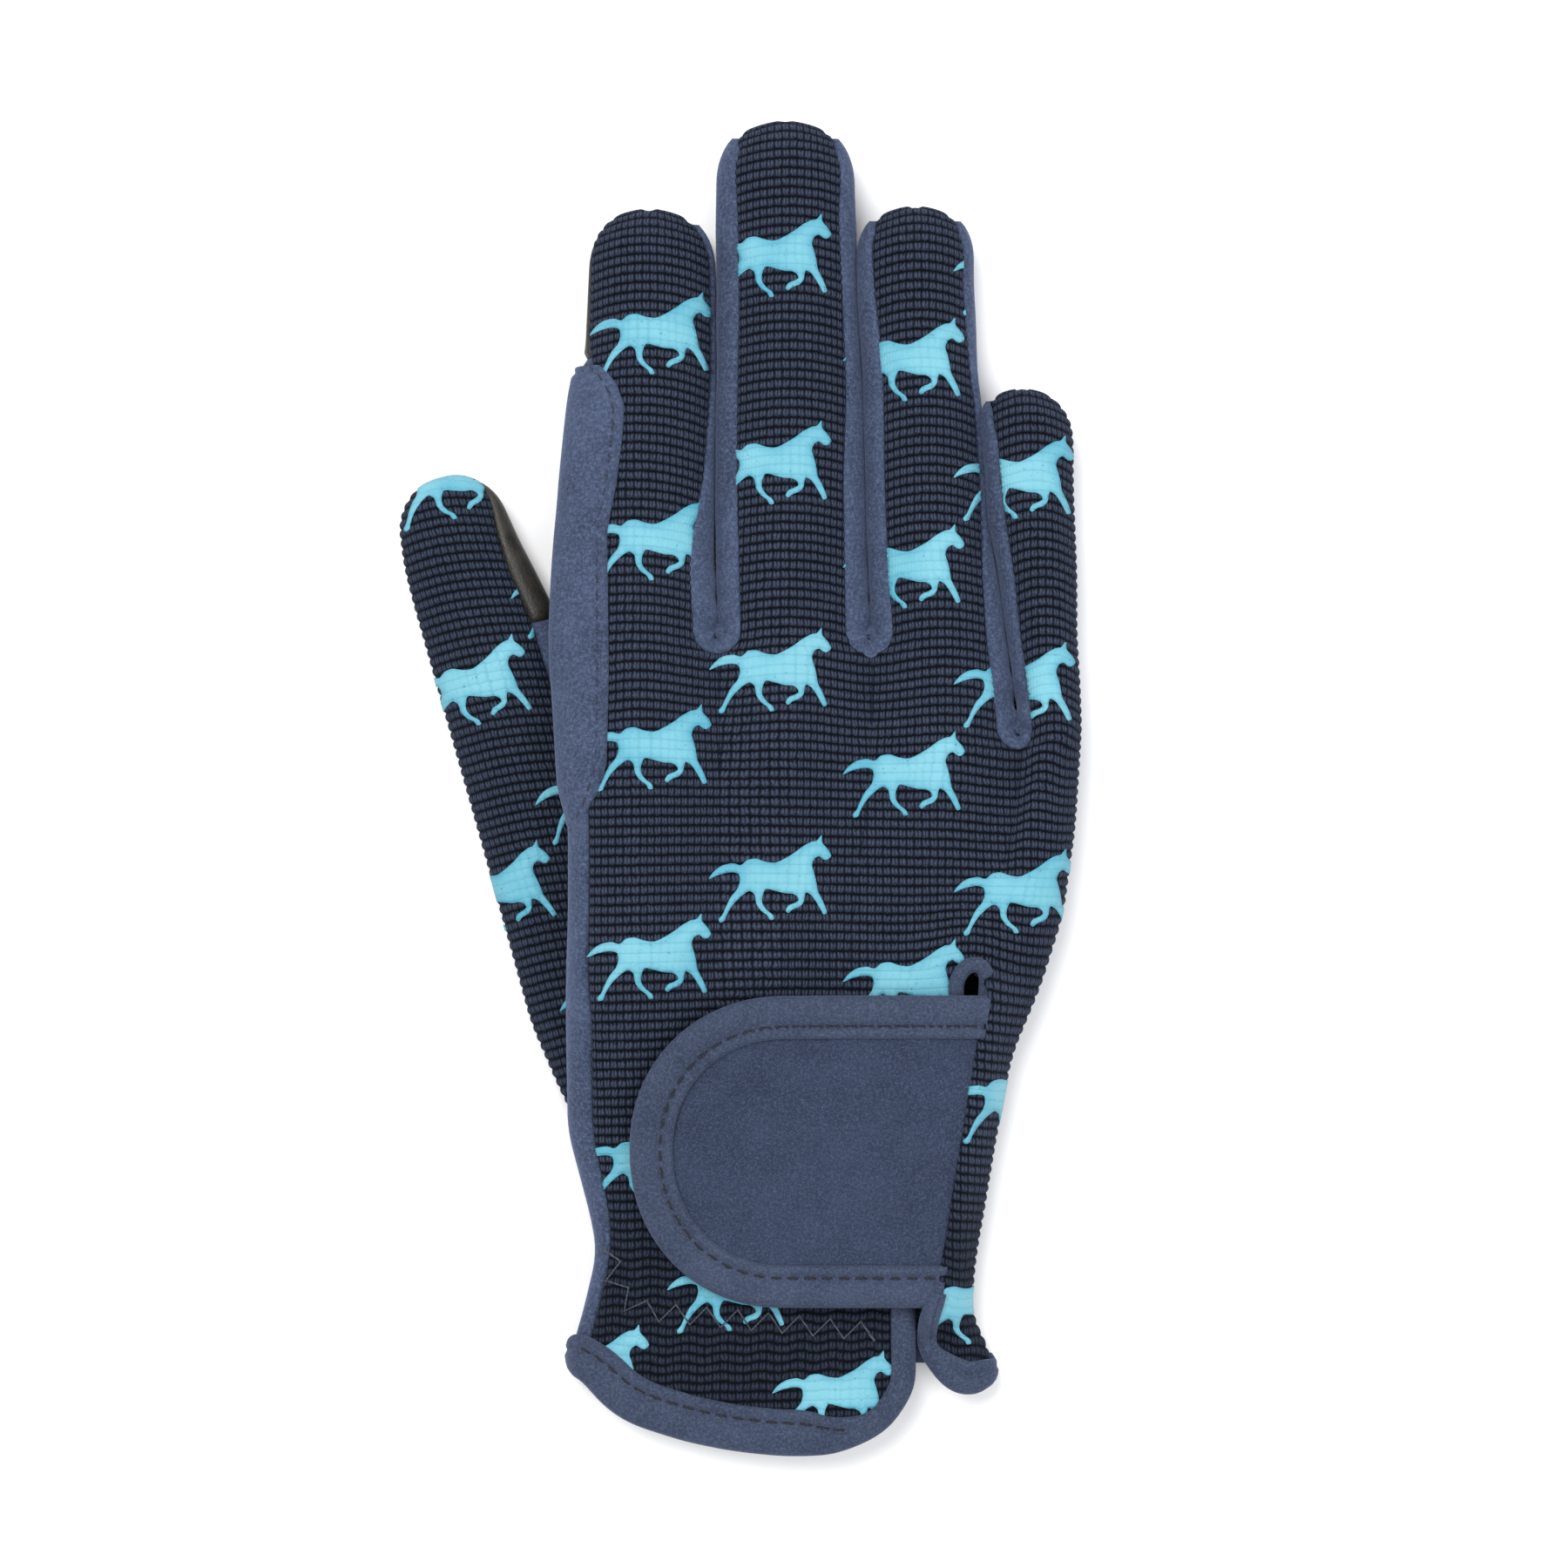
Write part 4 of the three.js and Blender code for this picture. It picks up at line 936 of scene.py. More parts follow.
class Value:
    """One output of a node, with plain arithmetic."""

    def __init__(self, wiring, socket):
        self.wiring = wiring
        self.socket = socket

    def __add__(self, other):
        return self.wiring.maths("ADD", self, other)

    def __sub__(self, other):
        return self.wiring.maths("SUBTRACT", self, other)

    def __rsub__(self, other):
        return self.wiring.maths("SUBTRACT", other, self)

    def __mul__(self, other):
        return self.wiring.maths("MULTIPLY", self, other)

    def __pow__(self, other):
        return self.wiring.maths("POWER", self, other)


class Wiring:
    """Adds and joins the nodes of one tree."""

    def __init__(self, tree):
        self.tree = tree

    def fill(self, node, inputs):
        for key, value in inputs.items():
            if isinstance(value, Value):
                self.tree.links.new(value.socket, node.inputs[key])
            else:
                node.inputs[key].default_value = value

    def node(self, kind, inputs=None, **settings):
        node = self.tree.nodes.new(kind)
        for key, value in settings.items():
            setattr(node, key, value)
        self.fill(node, inputs or {})
        return node

    def of(self, node, output):
        return Value(self, node.outputs[output])

    def add(self, kind, inputs=None, output=0, **settings):
        return self.of(self.node(kind, inputs, **settings), output)

    def maths(self, operation, *values, clamped=False):
        return self.add("ShaderNodeMath", dict(enumerate(values)), operation=operation,
                        use_clamp=clamped)

    def wave(self, value, turns=1.0):
        """Rounded bumps, one for each whole number when turns is 1."""
        return self.maths("ABSOLUTE", self.maths("SINE", value * (turns * math.pi)))

    def noise(self, place, scale, detail=2.0, rough=0.5):
        return self.add("ShaderNodeTexNoise", {
            "Vector": place, "Scale": scale, "Detail": detail, "Roughness": rough}, "Fac")

    def ranged(self, value, *ends):
        return self.add("ShaderNodeMapRange", dict(enumerate((value, *ends))), clamp=True)

    def blend(self, factor, a, b):
        return self.add("ShaderNodeMix", {"Factor": factor, "A": a, "B": b}, "Result",
                        data_type="RGBA")


def new_tree(name, kind, inputs, outputs):
    """A tree with named sockets. Returns it, its wiring, its input values by name, its
    output node and its inputs' identifiers."""
    tree = bpy.data.node_groups.new(name, kind)
    ids = {}
    for label, sort, value in inputs:
        socket = tree.interface.new_socket(label, in_out="INPUT",
                                           socket_type="NodeSocket" + sort)
        if value is not None:
            socket.default_value = value
        ids[label] = socket.identifier
    for label, sort in outputs:
        tree.interface.new_socket(label, in_out="OUTPUT", socket_type="NodeSocket" + sort)
    w = Wiring(tree)
    source = w.node("NodeGroupInput")
    given = {label: w.of(source, label) for label in ids}
    return tree, w, given, w.node("NodeGroupOutput"), ids


# Materials


def srgb(r, g, b):
    def line(c):
        c /= 255
        return c / 12.92 if c <= 0.04045 else ((c + 0.055) / 1.055) ** 2.4

    return (line(r), line(g), line(b), 1.0)


def knit_group():
    """Ribs crossed by wales: how high the yarn stands and how lit it is."""
    group, w, given, sink, _ = new_tree(
        "knit cells", "ShaderNodeTree",
        [("Cloth", "Vector", None), ("Place", "Vector", None)],
        [("Height", "Float"), ("Shade", "Float")])
    place = given["Place"]
    cloth = w.node("ShaderNodeSeparateXYZ", {0: given["Cloth"]})
    u = w.of(cloth, 0) + (w.noise(place, 900.0) - 0.5) * 0.5
    bars = w.wave(u, 2.0) ** 0.6
    # The wale gaps' depth, and with it their painted shade, varies at random.
    uneven_gaps = w.ranged(w.noise(place, 420.0), 0.38, 0.58, 0.75, 1.0)
    gap = 1.0 - (1.0 - w.ranged(w.wave(u), 0.08, 0.72, 0.0, 1.0)) * uneven_gaps
    notch = (1.0 - bars) * 0.17
    loose = (w.noise(place, 1300.0) - 0.5) * 0.3
    rib = w.wave(w.of(cloth, 1) + notch + loose)
    fibre = w.noise(place, 4600.0, 3.0, 0.7)
    yarn = w.ranged(bars, 0.1, 0.95, 0.25, 1.0) * gap
    # Painted shade: rib valleys and wale gaps are darkened in the colour as well as sunk by the
    # bump.
    lit = w.ranged(yarn, 0.1, 0.95, 0.12, 1.0) * w.ranged(rib, 0.2, 0.95, 0.0, 1.0)
    flecks = w.ranged(fibre, 0.32, 0.7, 0.4, 1.7)
    w.fill(sink, {"Height": yarn * rib ** 0.6 + (fibre - 0.5) * 0.5,
                  "Shade": w.maths("MULTIPLY", lit, flecks, clamped=True)})
    return group


def nap_group():
    """Short brushed fibres: pale flecks, soft clouds and a fine tooth."""
    group, w, given, sink, _ = new_tree(
        "suede nap", "ShaderNodeTree",
        [("Place", "Vector", None), ("Grain", "Float", 1900.0)],
        [("Height", "Float"), ("Flecks", "Float"), ("Clouds", "Float")])
    place = given["Place"]
    fine = w.noise(place, given["Grain"], 4.0, 0.75)
    height = fine * 0.6 + w.noise(place, 5200.0, 2.0, 0.7) * 0.4
    clouds = w.noise(place, 190.0, 3.0, 0.6) * 0.5 + w.noise(place, 48.0) * 0.5
    w.fill(sink, {"Height": height, "Flecks": w.ranged(height, 0.47, 0.72, 0.0, 1.0),
                  "Clouds": w.ranged(clouds * 0.6 + fine * 0.4, 0.38, 0.62, 0.0, 1.0)})
    return group


def new_material(name, rough, sheen=0.0, sheen_tint=None, specular=0.5):
    m = bpy.data.materials.new(name)
    m.use_nodes = True
    w = Wiring(m.node_tree)
    shader = m.node_tree.nodes["Principled BSDF"]
    w.fill(shader, {"Roughness": rough, "Sheen Weight": sheen, "Sheen Roughness": 0.45,
                    "Specular IOR Level": specular})
    if sheen_tint:
        w.fill(shader, {"Sheen Tint": sheen_tint})
    return m, w, shader, w.add("ShaderNodeTexCoord", output="Object")


def dress(w, shader, colour, height, depth, strength):
    """Gives a shader its colour and a bump of some depth in metres."""
    normal = w.add("ShaderNodeBump", {
        "Strength": strength, "Distance": depth, "Height": height})
    w.fill(shader, {"Base Color": colour, "Normal": normal})


def knit_material(name, cells, light, dark):
    m, w, shader, place = new_material(name, 0.95, 0.08, srgb(110, 125, 170), 0.12)
    cloth = w.add("ShaderNodeUVMap", uv_map="cloth")
    cell = w.node("ShaderNodeGroup", {"Cloth": cloth, "Place": place}, node_tree=cells)
    # Painted shade: the knit is darkened towards the cuff's hem, where the gathered wrist lies
    # in shade.
    along = w.add("ShaderNodeSeparateXYZ", {0: place}, 1)
    painted_cuff_shade = w.ranged(along, -0.07, -0.054, 0.55, 1.0)
    colour = w.blend(w.of(cell, "Shade") * painted_cuff_shade, dark, light)
    dress(w, shader, colour, w.of(cell, "Height"), 0.0003, 1.0)
    return m


def suede_material(name, nap, base, deep, fleck, grain=1900.0, sheen=0.35):
    m, w, shader, place = new_material(name, 0.95, sheen, srgb(150, 165, 205), 0.2)
    fibres = w.node("ShaderNodeGroup", {"Grain": grain, "Place": place}, node_tree=nap)
    mixed = w.blend(w.of(fibres, "Clouds"), deep, base)
    colour = w.blend(w.of(fibres, "Flecks") * 0.8, mixed, fleck)
    dress(w, shader, colour, w.of(fibres, "Height"), 0.00013, 0.9)
    return m


def leather_material(name, base, deep):
    m, w, shader, place = new_material(name, 0.5, 0.0, None, 0.45)
    edges = w.add("ShaderNodeTexVoronoi", {"Scale": 900.0, "Vector": place}, "Distance",
                  feature="DISTANCE_TO_EDGE")
    creases = w.noise(place, 260.0, 4.0, 0.6)
    height = w.ranged(edges, 0.0, 0.12, 0.0, 1.0) * 0.4 + creases
    w.fill(shader, {"Roughness": w.ranged(creases, 0.3, 0.7, 0.42, 0.62)})
    colour = w.blend(w.ranged(creases, 0.35, 0.65, 0.0, 1.0), deep, base)
    dress(w, shader, colour, height, 0.00014, 0.6)
    return m


def print_material(name, base, deep):
    m, w, shader, place = new_material(name, 0.6, 0.0, None, 0.3)
    cloth = w.node("ShaderNodeSeparateXYZ", {0: w.add("ShaderNodeUVMap", uv_map="cloth")})
    rib, wale = w.wave(w.of(cloth, 1)), w.wave(w.of(cloth, 0), 2.0)
    middle = w.add("ShaderNodeAttribute", output="Fac", attribute_name="middle")
    pits = w.noise(place, 1500.0, 3.0, 0.6)
    clouds = w.ranged(w.noise(place, 75.0), 0.35, 0.65, 0.0, 0.6)
    film = w.blend(w.maths("ADD", middle * 0.55, clouds, clamped=True), deep, base)
    # Painted shade: the print is darkened in the rib valleys.
    rib_shaded_film = w.blend(w.ranged(rib, 0.0, 0.5, 0.2, 0.0), film, srgb(56, 118, 140))
    pins = w.ranged(pits, 0.66, 0.72, 0.0, 1.0) * 0.7
    w.fill(shader, {"Roughness": w.ranged(pits, 0.3, 0.7, 0.5, 0.66)})
    dress(w, shader, w.blend(pins, rib_shaded_film, srgb(40, 92, 118)),
          rib ** 0.6 * 0.6 + (wale + pits) * 0.25, 0.00016, 0.8)
    return m


def thread_material(name, base, deep):
    m, w, shader, place = new_material(name, 0.7, 0.2, None, 0.3)
    twist = w.add("ShaderNodeTexWave", {"Scale": 900.0, "Vector": place}, "Fac",
                  wave_type="BANDS", bands_direction="DIAGONAL")
    dress(w, shader, w.blend(twist, deep, base), twist, 0.00006, 0.8)
    return m


cells = knit_group()
nap = nap_group()
KNIT = knit_material("navy ribbed knit", cells, srgb(62, 71, 91), srgb(3, 5, 13))
THUMB_KNIT = knit_material("thumb ribbed knit", cells, srgb(58, 68, 87), srgb(3, 5, 12))
SUEDE = suede_material("blue-grey suede", nap, srgb(60, 71, 95), srgb(42, 51, 72),
                       srgb(98, 111, 140))
STRAP_FACE = suede_material("strap face suede", nap, srgb(46, 55, 75), srgb(34, 42, 60),
                            srgb(76, 87, 113), 2600.0, 0.2)
BAND = suede_material("binding suede", nap, srgb(55, 64, 84), srgb(41, 49, 67),
                      srgb(86, 98, 124), 2400.0, 0.3)
TOUCH = leather_material("olive black touch leather", srgb(46, 44, 38), srgb(28, 27, 24))
PRINT = print_material("turquoise print", srgb(112, 175, 191), srgb(68, 147, 171))
THREAD = thread_material("dark seam thread", srgb(30, 35, 50), srgb(14, 17, 27))
SOFT_THREAD = thread_material("blue seam thread", srgb(48, 57, 80), srgb(26, 32, 48))
GREY_THREAD = thread_material("grey elastic thread", srgb(70, 76, 90), srgb(40, 45, 58))
HOOK = suede_material("hook and loop", nap, srgb(34, 38, 46), srgb(22, 25, 31),
                      srgb(62, 66, 76), 1300.0, 0.1)


# Geometry Nodes


def geometry_tree(name, inputs, build):
    """A tree whose result is made real and painted. Returns it and its identifiers."""
    inputs = [("Geometry", "Geometry", None), *inputs, ("Material", "Material", None)]
    tree, w, given, sink, ids = new_tree(name, "GeometryNodeTree", inputs,
                                         [("Geometry", "Geometry")])
    real = w.add("GeometryNodeRealizeInstances", {0: build(w, given)})
    w.fill(sink, {0: w.add("GeometryNodeSetMaterial", {
        "Geometry": real, "Material": given["Material"]})})
    return tree, ids


def raise_ribs(w, given):
    """Raises the knit's ribs along the surface's own rib numbers."""
    def named(label):
        return w.add("GeometryNodeInputNamedAttribute", {"Name": label}, "Attribute",
                     data_type="FLOAT")

    rise = (w.wave(named("rib")) ** 0.75 - 0.6) * named("calm") * given["Rib Height"]
    push = w.add("ShaderNodeVectorMath", {
        0: w.add("GeometryNodeInputNormal"), "Scale": rise}, operation="SCALE")
    return w.add("GeometryNodeSetPosition", {"Geometry": given["Geometry"], "Offset": push})


def round_thread(w, line, radius):
    ring = w.add("GeometryNodeCurvePrimitiveCircle", {"Resolution": 6, "Radius": radius})
    return w.add("GeometryNodeCurveToMesh", {
        "Curve": line, "Profile Curve": ring, "Fill Caps": True})


def lay_thread(w, given):
    return round_thread(w, given["Geometry"], given["Thread Radius"])


def lay_stitches(w, given):
    """Lays one thread loop at each step of a seam line."""
    half, radius = given["Stitch Length"] * 0.5, given["Thread Radius"]
    sunk, raised = radius * -1.2, radius * 1.1
    ends = {"Resolution": 6}
    for name, reach, height in (("Start", -1.0, sunk), ("Start Handle", -0.5, raised),
                                ("End Handle", 0.5, raised), ("End", 1.0, sunk)):
        ends[name] = w.add("ShaderNodeCombineXYZ", {0: half * reach, 2: height})
    bow = w.add("GeometryNodeCurvePrimitiveBezierSegment", ends)
    steps = w.add("GeometryNodeResampleCurve", {
        "Curve": given["Geometry"], "Length": given["Pitch"]}, mode="LENGTH")
    turn = w.add("FunctionNodeAlignRotationToVector", {
        "Vector": w.add("GeometryNodeInputTangent")}, axis="X", pivot_axis="AUTO")
    return w.add("GeometryNodeInstanceOnPoints", {
        "Points": steps, "Instance": round_thread(w, bow, radius), "Rotation": turn})


def repeat_motif(w, given):
    """Repeats one flat motif on every point of the print's layout."""
    motif = w.add("GeometryNodeObjectInfo", {"Object": given["Motif"]}, "Geometry",
                  transform_space="ORIGINAL")
    turn = w.add("ShaderNodeCombineXYZ", {2: given["Lean"]})
    return w.add("GeometryNodeInstanceOnPoints", {
        "Points": given["Geometry"], "Instance": motif, "Rotation": turn})


RAISED_RIBS = geometry_tree("raised ribs", [("Rib Height", "Float", 0.0004)], raise_ribs)
STITCHES = geometry_tree("seam stitches", [
    ("Pitch", "Float", 0.0025), ("Stitch Length", "Float", 0.0018),
    ("Thread Radius", "Float", 0.00024)], lay_stitches)
LAID_THREAD = geometry_tree("laid thread", [("Thread Radius", "Float", 0.00016)], lay_thread)
PRINT_REPEAT = geometry_tree("print repeat", [
    ("Motif", "Object", None), ("Lean", "Float", 0.0)], repeat_motif)


def grow(obj, made, values, name):
    """Turns obj into what a tree makes of it, as a plain mesh object."""
    tree, ids = made
    modifier = obj.modifiers.new("nodes", "NODES")
    modifier.node_group = tree
    for label, value in values.items():
        modifier[ids[label]] = value
    bpy.context.view_layer.update()
    graph = bpy.context.evaluated_depsgraph_get()
    me = bpy.data.meshes.new_from_object(obj.evaluated_get(graph), depsgraph=graph)
    obj.modifiers.remove(modifier)
    base = obj.data
    bpy.data.objects.remove(obj)
    bpy.data.batch_remove([base])
    me.name = name
    return link(name, me)


def line_object(line):
    """A curve object with one straight-sided spline."""
    curve = bpy.data.curves.new("line", "CURVE")
    curve.dimensions = "3D"
    at = to_row(line)
    spline = curve.splines.new("POLY")
    spline.points.add(len(at) - 1)
    spline.points.foreach_set("co", np.concatenate([at, np.ones((len(at), 1))], 1).ravel())
    return link("line", curve)


def settle(obj, slot, *nodes):
    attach(obj, "root")
    if nodes:
        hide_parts(*nodes)


def stitch_run(name, line, material, length=1.8, radius=0.22):
    out = grow(line_object(line), STITCHES, {
        "Pitch": STITCH_PITCH * MM, "Stitch Length": length * MM,
        "Thread Radius": radius * MM, "Material": material}, name)
    soften(out.data)
    settle(out, "suede")


# Back of the hand


def knit_panel(name, patches, material, shape, node):
    """Makes a knit piece. Returns its places, faces and cloth values for the print."""
    obj, values, base, quads = panel(name, patches, KNIT_WALL, fine=(FINE_ROWS, FINE_COLUMNS),
                                     roll=(1.1, 0.75), shape=shape)
    for key in ("rib", "wale", "calm"):
        point_attribute(obj, key, values[key])
    cloth_map(obj, values["wale"], values["rib"])
    out = grow(obj, RAISED_RIBS, {"Rib Height": RIB_HEIGHT * MM, "Material": material}, name)
    soften(out.data)
    settle(out, "knit", node)
    return base, quads, values


row_step = ROW_STEP * 1
back_base = knit_panel("knit_back", back_patches(row_step, FINE_ROWS, HALF_COLUMNS), KNIT,
                       back_shape, "back_panel")
thumb_base = knit_panel(
    "knit_thumb_back", [thumb_patch(0.0, 1.0, row_step, FINE_ROWS, HALF_COLUMNS, True)],
    THUMB_KNIT, None, "thumb_back")


# Suede and leather panels

PLAIN_COLUMNS = 12
PALM_STEP = 1.3
TOUCH_STEP = 0.8
SIDE_STEP = 0.7


def plain_panel(name, patches, wall, material, slot, node, roll=(1.2, 0.6), shape=None,
                turned=True):
    obj, *_ = panel(name, patches, wall, turned=turned, roll=roll, shape=shape)
    obj.data.materials.append(material)
    settle(obj, slot, node)


def palm_shape(points, normals, extra):
    x, y = points[:, 0], points[:, 1]
    below = smooth((-normals[:, 2] - 0.2) / 0.5) * smooth((points[:, 2] - 0.4) / 2)
    creases = 0.35 * np.sin((x + 0.4 * y) / 5.0) * np.sin(y / 9.0)
    return points + normals * (creases * below)[:, None]


def thumb_front(start, end, step):
    return [{"at": thumb_patch(start, end, step, 1, PLAIN_COLUMNS, False)["at"]}]


def index_touch(step):
    start, tip = INDEX_TOUCH_START * GLOVE_LENGTH, FINGERS[0][0] * GLOVE_LENGTH
    return [palm_patch(0, tip_rows(start, tip, step, 1), PLAIN_COLUMNS)]


plain_panel("suede_palm", palm_patches(PALM_STEP, PLAIN_COLUMNS), SUEDE_WALL, SUEDE, "suede",
            "palm_panel", shape=palm_shape)
plain_panel("index_touch_leather", index_touch(TOUCH_STEP), SUEDE_WALL, TOUCH, "touch",
            "index_touch_tip")
plain_panel("suede_thumb_front", thumb_front(0.0, THUMB_TOUCH_START, PALM_STEP), SUEDE_WALL,
            SUEDE, "suede", "thumb_front")
plain_panel("thumb_touch_leather", thumb_front(THUMB_TOUCH_START, 1.0, TOUCH_STEP),
            SUEDE_WALL, TOUCH, "touch", "thumb_touch_patch")
for k, label in enumerate(("index_middle", "middle_ring", "ring_little")):
    plain_panel("suede_fourchette_" + label, fourchette_patches(k, SIDE_STEP), SUEDE_WALL,
                SUEDE, "suede", "fourchette_" + label, roll=(1.5, 0.95), shape=fourchette_shape)


# Patch where the rein runs

PATCH_COLUMNS = 44
PATCH_STITCH = 1.15
PATCH_HEIGHT = 1.1


def patch_height(y):
    """The patch thins to its pointed lower end."""
    return lerp(0.12, PATCH_HEIGHT, smooth((y - REIN_PATCH[0][0] * GLOVE_LENGTH) / 8))


def rein_rows():
    """Rows over the index side, and the distance of each point from the right edge."""
    at, edge, along = [], [], []
    shares = (1 - np.cos(np.linspace(0, math.pi, 121))) / 2
    for share in lerp(REIN_PATCH[0][0], REIN_PATCH[-1][0], shares):
        y = share * GLOVE_LENGTH
        s = hand_section(0, y)
        d = clamp((s["x"] - read_patch(share)[1] * HAND_WIDTH + 0.35) / s["left"], 0, 1)
        start = math.degrees(math.acos(d ** (SECTION_POWER / 2)))
        angles = np.linspace(start, REIN_PATCH_WRAP, PATCH_COLUMNS + 1)
        p = section_points(s, np.full_like(angles, -1.0), angles, y)
        at.append(p[::-1])
        edge.append(path_lengths(p)[::-1])
        along.append(np.full(len(p), y))
    return {"at": np.array(at), "edge": np.array(edge), "along": np.array(along)}


def rein_shape(points, normals, extra):
    edge, along = extra["edge"], extra["along"]
    seam = np.minimum(edge, REIN_PATCH[-1][0] * GLOVE_LENGTH - along + 0.4)
    groove = -0.34 * np.exp(-(((seam - PATCH_STITCH) / 0.5) ** 2))
    puckers = pucker(seam - PATCH_STITCH, along, 0.07)
    bulge = 0.12 * np.sin(along / 5.3 + edge / 3.0)
    lifted = points + normals * (patch_height(along) + groove + puckers + bulge)[:, None]
    lifted[:, 2] += rumple(points[:, 0], points[:, 1]) * facing_up(normals[:, 2])
    return lifted


def rein_stitch_line(rein):
    line = [read_path(PATCH_STITCH, edge[::-1], at[::-1])
            for at, edge in zip(rein["at"], rein["edge"]) if edge[0] >= PATCH_STITCH + 0.5]
    out = []
    for p in resample(line, LINE_STEP):
        s = hand_section(0, p[1])
        angle = math.acos(clamp((s["x"] - p[0]) / s["left"], 0, 1))
        n = unit(np.array([-math.cos(angle), 0, math.sin(angle)]))
        q = p + n * (float(patch_height(p[1])) - 0.24)
        q[2] += rumple(p[0], p[1])
        out.append(q)
    return out


rein = rein_rows()
plain_panel("suede_rein_patch", [rein], 1.0, SUEDE, "suede", "rein_patch",
            roll=(0.7, 0.55), shape=rein_shape, turned=False)
stitch_run("rein_patch_stitches", rein_stitch_line(rein), SOFT_THREAD, length=1.7,
           radius=0.18)


# Strap

PAD_WIDTH = 27
PAD_LENGTH = 26
PAD_INSET = 9


def strap_surface(u, v, inset, height):
    x, y = strap_place(u, v, inset)
    return [x, y, strap_height(x, y) + height + 0.6 * float(rumple(x + 30, y * 0.7))]


def strap_band():
    """The binding round the strap, swept along its outline."""
    points = []
    lengths = path_lengths([strap_surface(u, v, STRAP_STITCH, 0) for u, v in STRAP_PATH])
    for (u, v), s in zip(STRAP_PATH, lengths):
        for inset, height in STRAP_BAND:
            if height > -0.5:
                height += float(pucker(inset - STRAP_STITCH, s, 0.1))
                height += 0.1 * math.sin(s / 5.1) * math.sin(s / 2.3 + inset)
            points.append(strap_surface(u, v, inset, height))
    return tube("strap_band", points, len(STRAP_BAND), BAND)


def strap_face():
    """The strap's plain face, a little lower than its binding and softly crowned."""
    def crown(u, v):
        return 0.22 * (1 - v * v) * min(1.0, 4 * (1 - u) + 0.1)

    return [{"at": np.array([
        [strap_surface(u, v, 6.0, crown(u, v) - 0.4) for u in np.linspace(1, 0, 53)]
        for v in np.sin(np.radians(np.linspace(-90, 90, 49)))
    ])}]


def pad_face():
    """A flat pad between the strap and the back."""
    left = STRAP_END * HAND_WIDTH - STRAP_LENGTH + PAD_INSET
    low = STRAP_MIDDLE * GLOVE_LENGTH - PAD_LENGTH / 2
    return [{"at": np.array([
        [[x, y, top_at(x, y) + 1.3] for x in np.linspace(left, left + PAD_WIDTH, 15)]
        for y in np.linspace(low, low + PAD_LENGTH, 15)
    ])}]


settle(strap_band(), "suede", "strap_binding")
plain_panel("strap_face", strap_face(), 1.6, STRAP_FACE, "suede", "strap", roll=(0.8, 0.3),
            turned=False)
stitch_line = [strap_surface(u, v, STRAP_STITCH, -0.02) for u, v in STRAP_PATH]
stitch_run("strap_stitches", resample(stitch_line, LINE_STEP)[3:-3], THREAD, length=1.7)
plain_panel("hook_and_loop_pad", pad_face(), 1.0, HOOK, "hook", "fastener_pad",
            roll=(0.5, 0.2), turned=False)


# Bindings of the cuff


def section_edge(s, side, angle, y):
    """A place on a section and the direction straight out of the cloth there."""
    p = section_points(s, np.array([side]), np.array([angle]), y)[0]
    c, r = abs(math.cos(math.radians(angle))), math.sin(math.radians(angle))
    half = s["left"] if side < 0 else s["right"]
    flat = s["flat_left"] if side < 0 else s["flat_right"]
    n = np.array([side * c**1.2 / half, 0, math.copysign(abs(r) ** 1.2, r) / s["height"]])
    n = n / np.linalg.norm(n) * (1 - flat) + np.array([0, 0, flat])
    return np.concatenate([p, n / np.linalg.norm(n)])


def back_edge(i, j, y):
    s = hand_section(i, y, True)
    sides, angles = top_angles(s, HALF_COLUMNS)
    return section_edge(s, float(sides[j]), float(angles[j]), y)


def hem_path(fingers):
    return [back_edge(i, j, y) for i in fingers
            for j, y in enumerate(hem_heights(i, HALF_COLUMNS))]


def side_path(i, j, ys):
    return [back_edge(i, j, y) for y in ys]


def wrap_path(i, side, ys, angles):
    """Goes round the hand's rounded side."""
    return [section_edge(hand_section(i, y, True), side, a, y) for y, a in zip(ys, angles)]


def risen(rows):
    """Lays a path on the rumpled back. Returns its places and its outward directions."""
    out = np.array(rows, float)
    out[:, 2] += cloth_rise(out[:, 0], out[:, 1], out[:, 5])
    return out[:, :3], unit(out[:, 3:])


def seam_on(path, ups, widths, least):
    """The stitch line of a folded binding, where it is wide and lies uppermost."""
    return resample([
        p + np.cross(up, t) * (w - HEM_STITCH) + up * SEAM_LIFT
        for p, t, up, w in zip(path, directions(path), ups, widths) if up[2] > 0.7 and w > least
    ], LINE_STEP)


strap_low = STRAP_MIDDLE * GLOVE_LENGTH - STRAP_WIDTH / 2
hem_top = HEM_TOP * GLOVE_LENGTH + 0.4
hem_left, hem_right = read_broad(0.0)[1] * GLOVE_LENGTH, read_narrow(1.0)[1] * GLOVE_LENGTH

broad, cuff_ups = risen(resample(
    wrap_path(0, -1.0, hem_left + np.linspace(0.9, 0.1, 7), np.linspace(-12, 40, 7))
    + hem_path([0, 1, 2])
    + side_path(2, -1, np.linspace(hem_top, strap_low + 6, 12)), 0.6, 14))
narrows = smooth((broad[:, 0] - 0.45 * HAND_WIDTH) / (0.18 * HAND_WIDTH))
cuff_width = 5.6 - 3.3 * narrows - 2.8 * (1 - smooth((path_lengths(broad) + 1) / 6))
settle(sweep("cuff_band", broad, cuff_ups, cuff_width, BAND), "suede", "cuff_binding")

